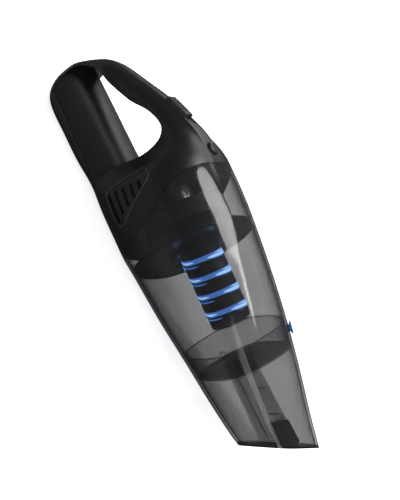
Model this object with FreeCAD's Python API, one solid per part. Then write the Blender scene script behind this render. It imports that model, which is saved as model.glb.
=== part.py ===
import FreeCAD, Part
import math
import os

# Cordless handheld vacuum cleaner with a loop handle and a smoked dust bin.
# Lengths are in millimetres. While it is being drawn, +X runs from the rear end of the
# handle to the nozzle, +Z is up and y = 0 is the plane where the two housing halves meet.
# On writing, the model is moved along X so that its origin is the bottom centre of its box.

V = FreeCAD.Vector
X_AXIS = V(1, 0, 0)
Y_AXIS = V(0, 1, 0)
Z_AXIS = V(0, 0, 1)

# ---- Overall size -------------------------------------------------------------------
LOOP_LENGTH = 120.0      # rear end to the front wall of the hand opening
BODY_LENGTH = 93.0       # front wall of the hand opening to the front face of the carrier
BIN_REACH = 219.0        # carrier face to the last section of the nozzle
WIDTH = 116.4
HEIGHT = 122.0
MOUTH_LOW_X = 401.0 - 213.0   # carrier face to the lower lip of the nozzle
MOUTH_TILT = 31.3        # degrees that the mouth leans forward from upright

# ---- Walls and clearances -----------------------------------------------------------
HOUSING_WALL = 2.4
BIN_WALL = 2.2
CARRIER_WALL = 2.2
MOVING_GAP = 0.4         # between pieces that move past each other
SEAT_GAP = 0.3           # between pieces that only locate each other

# ---- Handle -------------------------------------------------------------------------
RIM_HEIGHT = 13.0        # base rim that runs round the loop
ARCH_HALF_WIDTH = 37.0
ARCH_REAR_HEIGHT = 37.5
ARCH_FRONT_HEIGHT = 43.5

# ---- Power slider -------------------------------------------------------------------
SLIDER_X = 86.0
SLIDER_LENGTH = 27.0
SLIDER_WIDTH = 13.0
SLIDER_PROUD = 3.6
SLIDER_SUNK = 1.6
SLIDER_TRAVEL = 8.0
SLIDER_SLOPE = 20.5      # degrees
SLIDER_RIBS = 5
SLIDER_RIB_PITCH = 3.0
SLIDER_RIB_HEIGHT = 0.8
SLIDER_EDGE = 1.2
STEM_LENGTH = 8.0
STEM_WIDTH = 4.0
SWITCH_LENGTH = 24.0
SWITCH_WIDTH = 12.0
SWITCH_HEIGHT = 6.5

# ---- Release button and latch -------------------------------------------------------
BUTTON_X = 138.0
BUTTON_DIAMETER = 13.0
BUTTON_PROUD = 3.0
BUTTON_SUNK = 2.0
BUTTON_DOME = 1.4        # rounding of the top edge
BUTTON_TRAVEL = 3.0
BUTTON_STEM_DIAMETER = 6.0
GUIDE_HEIGHT = 6.0
GUIDE_LENGTH = 13.0
GUIDE_DEPTH = 17.0       # top of the housing to the lower end of the button's stem
STEM_OVERLAP = 2.0       # length of the stem inside the guide at rest
SPRING_WIRE = 0.9
SPRING_TURNS = 4
LATCH_ARM_WIDTH = 12.0
LATCH_ARM_THICKNESS = 2.6
LATCH_NOSE_LENGTH = 3.0
LATCH_NOSE_RISE = 1.4
CATCH_X = 160.0
CATCH_LENGTH = 3.0
CATCH_WIDTH = 15.0
CATCH_DEPTH = 1.6

# ---- Motor, fan and electrics -------------------------------------------------------
AXIS_Z = 65.0            # common axis of the motor, fan and filter
MOTOR_DIAMETER = 36.0
MOTOR_LENGTH = 48.0
MOTOR_REAR_X = 127.0
MOTOR_WALL = 1.2
MAGNET_THICKNESS = 4.0
ARMATURE_DIAMETER = 24.0
SHAFT_DIAMETER = 3.2
SHAFT_CLEARANCE = 0.08
END_CAP_LENGTH = 6.0
MOUNT_X = 131.0
MOUNT_THICKNESS = 5.0
FAN_DIAMETER = 78.0
FAN_WIDTH = 12.0
FAN_BLADES = 9
FAN_EYE_DIAMETER = 34.0
FAN_RUNNING_GAP = 1.2
FAN_COVER_WALL = 1.8
FAN_HUB_DIAMETER = 12.0
FAN_PLATE = 1.6
SPACER_WALL = 3.0
FAN_BLADE_THICKNESS = 1.6
FAN_BLADE_ROOT = 15.0    # radius where a blade starts
FAN_BLADE_SWEEP = 32.0   # degrees
NUT_RADIUS = 4.0         # to the nut's corners
NUT_LENGTH = 3.0
EXHAUST_HOLES = 8
EXHAUST_HOLE_DIAMETER = 14.0
EXHAUST_HOLE_RADIUS = 33.0   # from the motor's axis to each hole's centre
CELL_DIAMETER = 18.3
CELL_LENGTH = 65.0
CELL_COUNT = 3
CELL_PITCH = 19.0
CELLS_REAR_X = 37.0
TRAY_WALL = 1.6
BOARD_LENGTH = 48.0
BOARD_WIDTH = 32.0
BOARD_THICKNESS = 1.6
SOCKET_DIAMETER = 8.0
SOCKET_BORE = 5.5
SOCKET_Z = 22.0
SOCKET_LENGTH = 15.0
SOCKET_REAR_X = 1.0
SOCKET_PIN_DIAMETER = 2.0

# ---- Exhaust vents ------------------------------------------------------------------
VENT_COUNT = 5
VENT_WIDTH = 3.3
VENT_LOW_Z = 28.6
VENT_PITCH = 9.0
VENT_REAR_X = 139.0
VENT_LOW_FRONT_X = 167.5
VENT_HIGH_FRONT_X = 152.0
FOAM_THICKNESS = 4.0

# ---- Fasteners ----------------------------------------------------------------------
SCREW_DIAMETER = 3.0
SCREW_HEAD_DIAMETER = 5.6
SCREW_HEAD_HEIGHT = 2.2
SCREW_REACH = 10.0       # how far a housing screw passes the joint plane
SCREW_HEAD_MOST_Y = 30.0 # furthest that a screw head lies from the joint plane
SCREW_HOLE_GAP = 0.2
SCREW_PILOT_GAP = 0.05
BOSS_DIAMETER = 7.0
SCREW_PLACES = ((24.0, 7.0), (56.0, 82.0), (124.0, 105.0), (124.0, 14.0))

# ---- Filter carrier and filter ------------------------------------------------------
CARRIER_COLLAR_REACH = 12.0     # collar ahead of the parting line
CARRIER_TAIL = 8.0       # collar behind the parting line, inside the housing
CARRIER_STEP = 9.0       # how far the nose lies inside the outer skin
CARRIER_NOSE_WALL = 3.5
FLANGE_THICKNESS = 6.0
FLANGE_INSET = 3.4
GASKET_INSET = 2.7
FILTER_DIAMETER = 39.0
FILTER_LENGTH = 77.0
FILTER_BASE_DIAMETER = 58.0
FILTER_BASE_THICKNESS = 3.5
SPIGOT_DIAMETER = 40.0
SPIGOT_LENGTH = 7.0
CAGE_WALL = 1.4
SLEEVE_GAP = 0.05        # cage to sleeve
CORE_DIAMETER = 32.0
CORE_PLEATS = 20
CORE_PLEAT_DEPTH = 5.0
FILTER_CAP_LENGTH = 6.0
BAND_COUNT = 4
BAND_WIDTH = 5.0
BAND_THICKNESS = 0.6

# ---- Duct, partition, flap and nozzle -----------------------------------------------
DUCT_HALF_WIDTH = 15.8
DUCT_LOW_Z = 45.5
DUCT_REAR_TOP_Z = 64.0
DUCT_FRONT_TOP_Z = 69.0
DUCT_WALL = 1.8
DUCT_CORNER = 4.0
DUCT_RISE_REACH = 20.0   # the top's front height is reached this far ahead of the lower lip
DUCT_REAR_X = 330.0
PARTITION_DEPTH = 25.0
PARTITION_WALL = 1.8
FLAP_THICKNESS = 1.6
FLAP_MARGIN = 1.2
HINGE_PIN_DIAMETER = 2.4
HINGE_EYE_DIAMETER = 5.0
EAR_GAP = 1.0            # duct's side to the ear that carries the flap's pin
EAR_THICKNESS = 2.0
PIN_CLEARANCE = 0.05
RIM_THICKNESS = 2.4
BRUSH_DEPTH = 6.0        # how far the brush reaches back from the lower lip
BRUSH_SETBACK = 0.6      # brush behind the mouth plane
BRUSH_HEIGHT = 7.0
BRUSH_HOLDER_HEIGHT = 2.4
BRUSH_SIDE_GAP = 1.0

# ---- Drain plug ---------------------------------------------------------------------
PLUG_X = 315.0
PLUG_Y = 35.0
PLUG_HEAD_DIAMETER = 12.0
PLUG_HEAD_THICKNESS = 1.7
PLUG_STEM_DIAMETER = 7.0
PLUG_STEM_LENGTH = 4.0
PLUG_LIFT = 0.9          # clears the curved wall under the flat head

# ---- Places worked out from the sizes above -----------------------------------------
CARRIER_FACE_X = LOOP_LENGTH + BODY_LENGTH
LIP_X = CARRIER_FACE_X + MOUTH_LOW_X
FILTER_FRONT_X = CARRIER_FACE_X + FILTER_LENGTH
DUCT_MIDDLE_Z = (DUCT_LOW_Z + DUCT_REAR_TOP_Z) / 2
FAR = 1.3 * HEIGHT       # beyond the object to each side, for cutting tools
LONG = 1.1 * (CARRIER_FACE_X + BIN_REACH)


def on_loop(share):
    """x of a place along the loop handle."""
    return share * LOOP_LENGTH


def on_body(share):
    """x of a place along the motor body."""
    return LOOP_LENGTH + share * BODY_LENGTH


def on_bin(share):
    """x of a place along the dust bin."""
    return CARRIER_FACE_X + share * BIN_REACH


# One row for each cross-section of the outer skin: x; lowest and highest z as shares of
# the height; half-width below and above the waist as shares of half the width; height of
# the bottom and top rounding as shares of the section's own height; squareness.
SKIN = (
    (on_loop(0.000), 0.205, 0.377, 0.42, 0.22, 0.45, 0.45, 2.2),
    (on_loop(0.017), 0.131, 0.434, 0.48, 0.23, 0.35, 0.30, 2.2),
    (on_loop(0.050), 0.074, 0.500, 0.56, 0.24, 0.25, 0.24, 2.2),
    (on_loop(0.108), 0.026, 0.562, 0.63, 0.25, 0.18, 0.20, 2.2),
    (on_loop(0.210), -0.008, 0.635, 0.675, 0.255, 0.14, 0.18, 2.2),
    (on_loop(0.420), -0.010, 0.748, 0.68, 0.258, 0.12, 0.16, 2.2),
    (on_loop(0.620), -0.010, 0.850, 0.68, 0.262, 0.12, 0.15, 2.2),
    (on_loop(0.800), -0.010, 0.918, 0.69, 0.285, 0.15, 0.17, 2.2),
    (on_loop(0.930), -0.010, 0.963, 0.73, 0.420, 0.24, 0.25, 2.3),
    (on_body(0.040), -0.010, 0.985, 0.82, 0.640, 0.34, 0.36, 2.4),
    (on_body(0.180), -0.010, 0.999, 0.91, 0.860, 0.42, 0.44, 2.5),
    (on_body(0.360), -0.010, 1.003, 0.975, 0.965, 0.47, 0.47, 2.5),
    (on_body(0.560), -0.010, 1.004, 0.995, 0.995, 0.48, 0.48, 2.45),
    (on_body(0.780), -0.010, 1.000, 1.000, 1.000, 0.48, 0.48, 2.4),
    (on_body(1.000), 0.007, 0.988, 0.993, 0.993, 0.48, 0.48, 2.35),
    (on_bin(0.123), 0.033, 0.961, 0.986, 0.986, 0.48, 0.48, 2.4),
    (on_bin(0.260), 0.068, 0.923, 0.975, 0.975, 0.48, 0.48, 2.5),
    (on_bin(0.397), 0.109, 0.880, 0.950, 0.950, 0.48, 0.48, 2.6),
    (on_bin(0.534), 0.150, 0.829, 0.902, 0.902, 0.48, 0.48, 2.8),
    (on_bin(0.671), 0.191, 0.772, 0.837, 0.837, 0.47, 0.47, 3.1),
    (on_bin(0.808), 0.233, 0.714, 0.755, 0.755, 0.46, 0.46, 3.5),
    (on_bin(1.000), 0.293, 0.656, 0.615, 0.615, 0.45, 0.45, 4.0),
)
WAIST_Z = 0.42 * HEIGHT
WAIST_BLEND = 0.22 * HEIGHT
FINE_POINTS = 40
SIDE_POINTS = 17


def smooth(t):
    """Ease from 0 to 1 as t goes from 0 to 1."""
    t = min(max(t, 0.0), 1.0)
    return t * t * (3.0 - 2.0 * t)


def half_width(z, low, high):
    """Half-width at height z between the wide lower body and the narrower grip."""
    return low + (high - low) * smooth((z - WAIST_Z + WAIST_BLEND / 2) / WAIST_BLEND)


def side_outline(row, inset):
    """Many points of one side of a section, from its bottom to its top."""
    x, z_low, z_top, w_low, w_high, r_low, r_top, power = row
    z_low = z_low * HEIGHT + inset
    z_top = z_top * HEIGHT - inset
    height = z_top - z_low
    wide = w_low * WIDTH / 2 - inset
    narrow = w_high * WIDTH / 2 - inset
    places = []
    for i in range(FINE_POINTS):
        angle = math.pi / 2 * i / FINE_POINTS
        rise = 1 - math.cos(angle) ** (2 / power)
        places.append((z_low + r_low * height * rise, math.sin(angle) ** (2 / power)))
    for i in range(FINE_POINTS):
        places.append((z_low + height * (r_low + i / FINE_POINTS * (1 - r_low - r_top)), 1.0))
    for i in range(FINE_POINTS + 1):
        angle = math.pi / 2 * i / FINE_POINTS
        drop = 1 - math.sin(angle) ** (2 / power)
        places.append((z_top - r_top * height * drop, math.cos(angle) ** (2 / power)))
    points = [V(x, half_width(z, wide, narrow) * round_off, z) for z, round_off in places]
    points[0].y = 0.0
    points[-1].y = 0.0
    return points


def evenly(points, count):
    """Points at equal distances along a line of many points."""
    lengths = [0.0]
    for i in range(1, len(points)):
        lengths.append(lengths[-1] + (points[i] - points[i - 1]).Length)
    result = []
    k = 1
    for i in range(count):
        target = lengths[-1] * i / (count - 1)
        while k < len(points) - 1 and lengths[k] < target:
            k += 1
        share = (target - lengths[k - 1]) / (lengths[k] - lengths[k - 1])
        result.append(points[k - 1] + (points[k] - points[k - 1]) * share)
    return result


def section(row, inset):
    """Closed outline of one section: a smooth right side, and its mirror image."""
    points = evenly(side_outline(row, inset), SIDE_POINTS)
    steps = [i / (SIDE_POINTS - 1) for i in range(SIDE_POINTS)]
    speed = (points[1] - points[0]).Length * (SIDE_POINTS - 1)
    curve = Part.BSplineCurve()
    across = V(0, speed, 0)
    curve.interpolate(Points=points, Parameters=steps, InitialTangent=across, FinalTangent=-across)
    side = curve.toShape()
    return Part.Wire([side, side.mirror(V(0, 0, 0), Y_AXIS)])


def row_at(x):
    """Section sizes at any x, on a smooth curve through the rows."""
    last = len(SKIN) - 1
    i = max(k for k in range(last) if SKIN[k][0] <= x or k == 0)
    span = SKIN[i + 1][0] - SKIN[i][0]
    t = (x - SKIN[i][0]) / span
    row = [x]
    for k in range(1, len(SKIN[i])):
        here = SKIN[i][k]
        after = SKIN[i + 1][k]
        rise = (after - here) / span
        slope_here = rise if i == 0 else (after - SKIN[i - 1][k]) / (SKIN[i + 1][0] - SKIN[i - 1][0])
        slope_after = rise if i + 1 == last else (SKIN[i + 2][k] - here) / (SKIN[i + 2][0] - SKIN[i][0])
        bend = slope_here * t * (1 - t) ** 2 - slope_after * t * t * (1 - t)
        row.append(here * (1 + 2 * t) * (1 - t) ** 2 + after * (3 - 2 * t) * t * t + bend * span)
    return row


def skin(inset, x0, x1):
    """Solid inside the outer skin between two places, moved inwards by the inset."""
    inner = [row for row in SKIN if x0 + 1.0 < row[0] < x1 - 1.0]
    rows = [row_at(x0)] + inner + [row_at(x1)]
    return Part.makeLoft([section(row, inset) for row in rows], True, False)


def block(x0, x1, y0, y1, z0, z1):
    """Box between two corners."""
    return Part.makeBox(x1 - x0, y1 - y0, z1 - z0, V(x0, y0, z0))


def rod(diameter, x0, x1, y=0.0, z=AXIS_Z):
    """Cylinder along X."""
    return Part.makeCylinder(diameter / 2, x1 - x0, V(x0, y, z), X_AXIS)


def tube(outer, inner, x0, x1, y=0.0, z=AXIS_Z):
    """Hollow cylinder along X."""
    return rod(outer, x0, x1, y, z).cut(rod(inner, x0 - 1, x1 + 1, y, z))


def prism(points, y0, y1):
    """Solid with a smooth closed outline in the XZ plane, between y0 and y1."""
    curve = Part.BSplineCurve()
    curve.interpolate(Points=[V(x, y0, z) for x, z in points], PeriodicFlag=True)
    return Part.Face(Part.Wire([curve.toShape()])).extrude(V(0, y1 - y0, 0))


def grown(points, amount):
    """The outline's points moved outwards; the outline runs clockwise seen along +Y."""
    result = []
    count = len(points)
    for i in range(count):
        before = points[i - 1]
        after = points[(i + 1) % count]
        dx = after[0] - before[0]
        dz = after[1] - before[1]
        size = math.hypot(dx, dz)
        result.append((points[i][0] - dz / size * amount, points[i][1] + dx / size * amount))
    return result


def below(z):
    """Everything below a level."""
    return block(-5, LONG, -FAR, FAR, -FAR, z)


def one_solid(shape):
    """The largest solid of a result, so that no sliver is written."""
    return max(shape.Solids, key=lambda solid: solid.Volume)


# ---- Parting line between the housing and the dust bin -------------------------------
PARTING = (
    (on_body(0.800), -0.30), (on_body(0.750), 0.03), (on_body(0.722), 0.25), (on_body(0.645), 0.46),
    (on_body(0.505), 0.65), (on_body(0.420), 0.78), (on_body(0.375), 0.89), (on_body(0.360), 0.96),
    (on_body(0.345), 1.20),
)


PARTING_REAR_X = on_body(0.30)     # just behind the rearmost point of the parting line
PARTING_FRONT_X = on_body(0.92)    # just ahead of its foremost point


def parting_tool(shift, close_x):
    """Everything between the parting line, moved forward by the shift, and an x."""
    points = [V(x + shift, -FAR, z * HEIGHT) for x, z in PARTING]
    curve = Part.BSplineCurve()
    curve.interpolate(points)
    low = points[0]
    high = points[-1]
    far_high = V(close_x, -FAR, high.z)
    far_low = V(close_x, -FAR, low.z)
    edges = [
        curve.toShape(),
        Part.makeLine(high, far_high),
        Part.makeLine(far_high, far_low),
        Part.makeLine(far_low, low),
    ]
    return Part.Face(Part.Wire(edges)).extrude(V(0, 2 * FAR, 0))


# ---- Loop handle ---------------------------------------------------------------------
def hand_opening():
    """Outline of the opening in the loop, clockwise seen along +Y."""
    floor = RIM_HEIGHT
    return [
        (on_loop(0.10), floor + 3.0), (on_loop(0.055), 0.23 * HEIGHT), (on_loop(0.050), 0.36 * HEIGHT),
        (on_loop(0.110), 0.452 * HEIGHT), (on_loop(0.230), 0.486 * HEIGHT), (on_loop(0.400), 0.545 * HEIGHT),
        (on_loop(0.510), 0.602 * HEIGHT), (on_loop(0.620), 0.684 * HEIGHT), (on_loop(0.720), 0.730 * HEIGHT),
        (on_loop(0.820), 0.748 * HEIGHT), (on_loop(0.905), 0.708 * HEIGHT), (on_loop(0.945), 0.630 * HEIGHT),
        (on_loop(0.955), 0.490 * HEIGHT), (on_loop(0.960), 0.340 * HEIGHT), (on_loop(0.965), 0.200 * HEIGHT),
        (on_loop(0.930), floor + 1.0), (on_loop(0.800), floor), (on_loop(0.500), floor),
        (on_loop(0.220), floor),
    ]


def arch(inset):
    """Battery housing along the bottom of the loop, with a rounded top."""
    wires = []
    for x, top in ((-20.0, ARCH_REAR_HEIGHT), (LOOP_LENGTH + 20.0, ARCH_FRONT_HEIGHT)):
        wide = ARCH_HALF_WIDTH - inset
        high = top - inset
        points = []
        for i in range(13):
            angle = math.pi * i / 12
            y = -wide * math.copysign(abs(math.cos(angle)) ** 0.8, math.cos(angle))
            points.append(V(x, y, high * math.sin(angle) ** 0.8))
        curve = Part.BSplineCurve()
        curve.interpolate(points)
        foot_left = points[-1] - V(0, 0, 30)
        foot_right = points[0] - V(0, 0, 30)
        edges = [
            curve.toShape(),
            Part.makeLine(points[-1], foot_left),
            Part.makeLine(foot_left, foot_right),
            Part.makeLine(foot_right, points[0]),
        ]
        wires.append(Part.Wire(edges))
    return Part.makeLoft(wires, True, True)


def slope_frame(shape, x, z):
    """Turn a shape drawn about the origin to the handle's top slope, then move it there."""
    shape.rotate(V(0, 0, 0), Y_AXIS, -SLIDER_SLOPE)
    shape.translate(V(x, 0, z))
    return shape


def top_of(solid, x, y=0.0):
    """Highest z of a solid on the upright line through x and y."""
    line = Part.makeLine(V(x, y, -FAR), V(x, y, FAR))
    return max(v.Point.z for v in line.common(solid).Vertexes)


def normal_of(solid, x, y):
    """Outward direction of the top of a solid, from its slope along X and along Y."""
    step = 0.5
    slope_x = (top_of(solid, x + step, y) - top_of(solid, x - step, y)) / (2 * step)
    slope_y = (top_of(solid, x, y + step) - top_of(solid, x, y - step)) / (2 * step)
    direction = V(-slope_x, -slope_y, 1.0)
    return direction.normalize()


def vent_slots(side, y_low, y_high):
    """Slots along X through one side wall, shorter towards the top."""
    slots = []
    for i in range(VENT_COUNT):
        z = VENT_LOW_Z + i * VENT_PITCH
        front = VENT_LOW_FRONT_X + (VENT_HIGH_FRONT_X - VENT_LOW_FRONT_X) * i / (VENT_COUNT - 1)
        rear = VENT_REAR_X - 1.0 + i
        low = min(side * y_low, side * y_high)
        high = max(side * y_low, side * y_high)
        slots.append(block(rear, front, low, high, z - VENT_WIDTH / 2, z + VENT_WIDTH / 2))
    return slots


def boss(x, z):
    """Screw pillar across both halves."""
    return Part.makeCylinder(BOSS_DIAMETER / 2, 2 * FAR, V(x, -FAR, z), Y_AXIS)


def screw(x, y_head, z, y_tip):
    """Screw along Y with its head at y_head and its tip at y_tip."""
    head = Part.makeCylinder(SCREW_HEAD_DIAMETER / 2, SCREW_HEAD_HEIGHT, V(x, y_head, z), V(0, -1, 0))
    stem_start = y_head - SCREW_HEAD_HEIGHT
    stem = Part.makeCylinder(SCREW_DIAMETER / 2, stem_start - y_tip, V(x, stem_start, z), V(0, -1, 0))
    return head.fuse(stem)


REAR_SKIN = skin(0.0, 0.0, PARTING_FRONT_X)
BIN_SKIN = skin(0.0, PARTING_REAR_X, on_bin(1.0))
LATCH_Z = top_of(REAR_SKIN, BUTTON_X)
CATCH_Z = top_of(BIN_SKIN, CATCH_X) - BIN_WALL - CATCH_DEPTH


def housing():
    """Outer shell with its loop, before it is split into halves."""
    opening = hand_opening()
    pocket = prism(opening, -FAR, FAR).cut(arch(0.0))
    pocket_wall = prism(grown(opening, HOUSING_WALL), -FAR, FAR).cut(arch(HOUSING_WALL))
    cavity = skin(HOUSING_WALL, on_loop(0.1), PARTING_FRONT_X + 5).cut(below(HOUSING_WALL)).cut(pocket_wall)
    for x, z in SCREW_PLACES:
        cavity = cavity.cut(boss(x, z))
    shell = REAR_SKIN.cut(below(0.0)).cut(parting_tool(0.0, PARTING_FRONT_X + 10)).cut(pocket).cut(cavity)
    for side in (-1, 1):
        for slot in vent_slots(side, 0.3 * WIDTH, WIDTH):
            shell = shell.cut(slot)
    reach = SLIDER_LENGTH + SLIDER_TRAVEL + 2 * MOVING_GAP
    start = -SLIDER_LENGTH / 2 - MOVING_GAP
    half = SLIDER_WIDTH / 2 + MOVING_GAP
    top = top_of(REAR_SKIN, SLIDER_X)
    shelf = block(start, start + reach, -half, half, -SLIDER_SUNK - MOVING_GAP, 20)
    shell = shell.cut(slope_frame(shelf, SLIDER_X, top))
    slot_half = STEM_WIDTH / 2 + MOVING_GAP
    slot_start = -STEM_LENGTH / 2 - MOVING_GAP
    slot_end = STEM_LENGTH / 2 + SLIDER_TRAVEL + MOVING_GAP
    shell = shell.cut(slope_frame(block(slot_start, slot_end, -slot_half, slot_half, -7, 2), SLIDER_X, top))
    button_hole = Part.makeCylinder(BUTTON_DIAMETER / 2 + MOVING_GAP, 20, V(BUTTON_X, 0, LATCH_Z - 8), Z_AXIS)
    shell = shell.cut(button_hole)
    return shell.cut(rod(SOCKET_DIAMETER + 2 * SEAT_GAP, -5, on_loop(0.2), 0, SOCKET_Z))


def screw_head_y(x, z):
    """Outer end of the screw head, sunk below the left skin."""
    line = Part.makeLine(V(x, 0, z), V(x, FAR, z))
    edge_y = max(v.Point.y for v in line.common(REAR_SKIN).Vertexes)
    return min(edge_y - 1.0, SCREW_HEAD_MOST_Y)


def housing_halves():
    """Right half, left half and their screws."""
    shell = housing()
    right = shell.common(block(-FAR, LONG, -FAR, 0, -FAR, FAR))
    left = shell.common(block(-FAR, LONG, 0, FAR, -FAR, FAR))
    screws = []
    for x, z in SCREW_PLACES:
        head_y = screw_head_y(x, z)
        seat_y = head_y - SCREW_HEAD_HEIGHT
        well = Part.makeCylinder(SCREW_HEAD_DIAMETER / 2 + SCREW_HOLE_GAP, FAR, V(x, seat_y, z), Y_AXIS)
        hole = Part.makeCylinder(SCREW_DIAMETER / 2 + SCREW_HOLE_GAP, seat_y + 1, V(x, -0.5, z), Y_AXIS)
        pilot_radius = SCREW_DIAMETER / 2 + SCREW_PILOT_GAP
        pilot = Part.makeCylinder(pilot_radius, SCREW_REACH + 0.5, V(x, -SCREW_REACH - 0.5, z), Y_AXIS)
        left = left.cut(well).cut(hole)
        right = right.cut(pilot)
        screws.append(screw(x, head_y, z, -SCREW_REACH))
    return one_solid(right), one_solid(left), Part.makeCompound(screws)


# ---- Carrier between the fan and the filter ------------------------------------------
def carrier():
    """Black nose: collar in the housing, stepped body and a full flange at its front."""
    rear_x = on_body(0.33)
    flange_x = CARRIER_FACE_X - FLANGE_THICKNESS
    fit = HOUSING_WALL + 2 * SEAT_GAP
    inner_reach = CARRIER_COLLAR_REACH - CARRIER_WALL
    collar = skin(fit, rear_x, CARRIER_FACE_X - 1)
    collar = collar.cut(parting_tool(CARRIER_COLLAR_REACH, CARRIER_FACE_X + 20))
    room = skin(fit + CARRIER_WALL, rear_x - 1, CARRIER_FACE_X)
    room = room.cut(parting_tool(inner_reach, CARRIER_FACE_X + 20))
    body = skin(CARRIER_STEP, rear_x, flange_x)
    hollow = skin(CARRIER_STEP + CARRIER_NOSE_WALL, rear_x - 1, flange_x + 1)
    notch_half = CATCH_WIDTH / 2 + 2 * MOVING_GAP
    notch_low = CATCH_Z - 2 * MOVING_GAP - LATCH_ARM_THICKNESS - BUTTON_TRAVEL - 1.0
    notch = block(rear_x - 5, CATCH_X + CATCH_LENGTH + 8, -notch_half, notch_half, notch_low, FAR)
    tail = parting_tool(-CARRIER_TAIL, rear_x - 20)
    floor = below(fit)
    collar = collar.cut(room).cut(hollow).cut(floor).cut(tail).cut(notch)
    body = body.cut(hollow).cut(room).cut(notch)
    flange = skin(FLANGE_INSET, flange_x, CARRIER_FACE_X).cut(floor)
    flange = flange.cut(rod(SPIGOT_DIAMETER + 2 * MOVING_GAP, flange_x - 1, CARRIER_FACE_X + 1))
    return one_solid(collar.fuse(body).fuse(flange))


def gasket():
    """Rubber ring round the flange that closes the dust bin."""
    rear = CARRIER_FACE_X - FLANGE_THICKNESS + 1.5
    front = CARRIER_FACE_X - 1.5
    return one_solid(skin(GASKET_INSET, rear, front).cut(skin(FLANGE_INSET - 0.1, rear - 1, front + 1)))


# ---- Motor and fan -------------------------------------------------------------------
MOTOR_FRONT_X = MOTOR_REAR_X + MOTOR_LENGTH
FAN_REAR_X = MOTOR_FRONT_X + FAN_COVER_WALL + FAN_RUNNING_GAP
FAN_FRONT_X = FAN_REAR_X + FAN_WIDTH


def motor_can():
    """Steel can, open at its rear, with a hole for the shaft at its front."""
    can = rod(MOTOR_DIAMETER, MOTOR_REAR_X + END_CAP_LENGTH, MOTOR_FRONT_X)
    bore = rod(MOTOR_DIAMETER - 2 * MOTOR_WALL, MOTOR_REAR_X, MOTOR_FRONT_X - MOTOR_WALL)
    return can.cut(bore).cut(rod(SHAFT_DIAMETER + 2 * SHAFT_CLEARANCE, MOTOR_REAR_X, MOTOR_FRONT_X + 1))


def motor_end_cap():
    """Moulded rear cap with the bearing seat and two terminals."""
    cap = rod(MOTOR_DIAMETER, MOTOR_REAR_X, MOTOR_REAR_X + END_CAP_LENGTH)
    for side in (-1, 1):
        y = side * MOTOR_DIAMETER / 4
        cap = cap.fuse(block(MOTOR_REAR_X - 3, MOTOR_REAR_X, y - 2, y + 2, AXIS_Z - 0.4, AXIS_Z + 0.4))
    return cap.cut(rod(SHAFT_DIAMETER + 2 * SHAFT_CLEARANCE, MOTOR_REAR_X + 2, MOTOR_FRONT_X))


def motor_magnets():
    """Two curved magnets inside the can."""
    outer = MOTOR_DIAMETER - 2 * MOTOR_WALL - 0.1
    ring = tube(outer, outer - 2 * MAGNET_THICKNESS, MOTOR_REAR_X + END_CAP_LENGTH + 4, MOTOR_FRONT_X - 6)
    gap = block(0, LONG, -5, 5, -FAR, FAR)
    return Part.makeCompound(ring.cut(gap).Solids)


def motor_armature():
    """Slotted iron core with its windings, on the shaft."""
    start = MOTOR_REAR_X + END_CAP_LENGTH + 5
    core = rod(ARMATURE_DIAMETER, start, MOTOR_FRONT_X - 7)
    for i in range(5):
        slot = block(start - 1, MOTOR_FRONT_X, -1.2, 1.2, ARMATURE_DIAMETER / 2 - 5, ARMATURE_DIAMETER)
        slot.rotate(V(0, 0, 0), X_AXIS, 72 * i)
        slot.translate(V(0, 0, AXIS_Z))
        core = core.cut(slot)
    return core.cut(rod(SHAFT_DIAMETER, start - 1, MOTOR_FRONT_X))


def motor_mount():
    """Bulkhead in the housing that holds the motor and lets the exhaust past it."""
    plate = skin(HOUSING_WALL + SEAT_GAP, MOUNT_X, MOUNT_X + MOUNT_THICKNESS).cut(below(HOUSING_WALL))
    plate = plate.cut(rod(MOTOR_DIAMETER + SEAT_GAP, MOUNT_X - 1, MOUNT_X + MOUNT_THICKNESS + 1))
    for i in range(EXHAUST_HOLES):
        centre = on_circle(V(0, 0, AXIS_Z), EXHAUST_HOLE_RADIUS, 360.0 * (i + 0.5) / EXHAUST_HOLES)
        hole = rod(EXHAUST_HOLE_DIAMETER, MOUNT_X - 1, MOUNT_X + MOUNT_THICKNESS + 1, centre.y, centre.z)
        plate = plate.cut(hole)
    return one_solid(plate.cut(block(MOUNT_X - 1, LONG, -FAR, FAR, GUIDE_TOP_Z - GUIDE_HEIGHT - 2, FAR)))


def impeller():
    """Fan wheel with a hub, a back plate, blades and a front ring."""
    wheel = rod(FAN_HUB_DIAMETER, FAN_REAR_X, FAN_FRONT_X)
    wheel = wheel.fuse(rod(FAN_DIAMETER, FAN_REAR_X, FAN_REAR_X + FAN_PLATE))
    half = FAN_BLADE_THICKNESS / 2
    for i in range(FAN_BLADES):
        blade = block(FAN_REAR_X + 1, FAN_FRONT_X - 1, -half, half, FAN_BLADE_ROOT, FAN_DIAMETER / 2 - 1.0)
        blade.rotate(V(0, 0, FAN_BLADE_ROOT), X_AXIS, FAN_BLADE_SWEEP)
        blade.rotate(V(0, 0, 0), X_AXIS, 360.0 * i / FAN_BLADES)
        blade.translate(V(0, 0, AXIS_Z))
        wheel = wheel.fuse(blade.common(rod(FAN_DIAMETER - 1.0, FAN_REAR_X, FAN_FRONT_X)))
    wheel = wheel.fuse(tube(FAN_DIAMETER, FAN_EYE_DIAMETER, FAN_FRONT_X - FAN_PLATE, FAN_FRONT_X))
    return one_solid(wheel.cut(rod(SHAFT_DIAMETER, FAN_REAR_X - 1, FAN_FRONT_X + 1)))


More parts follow.
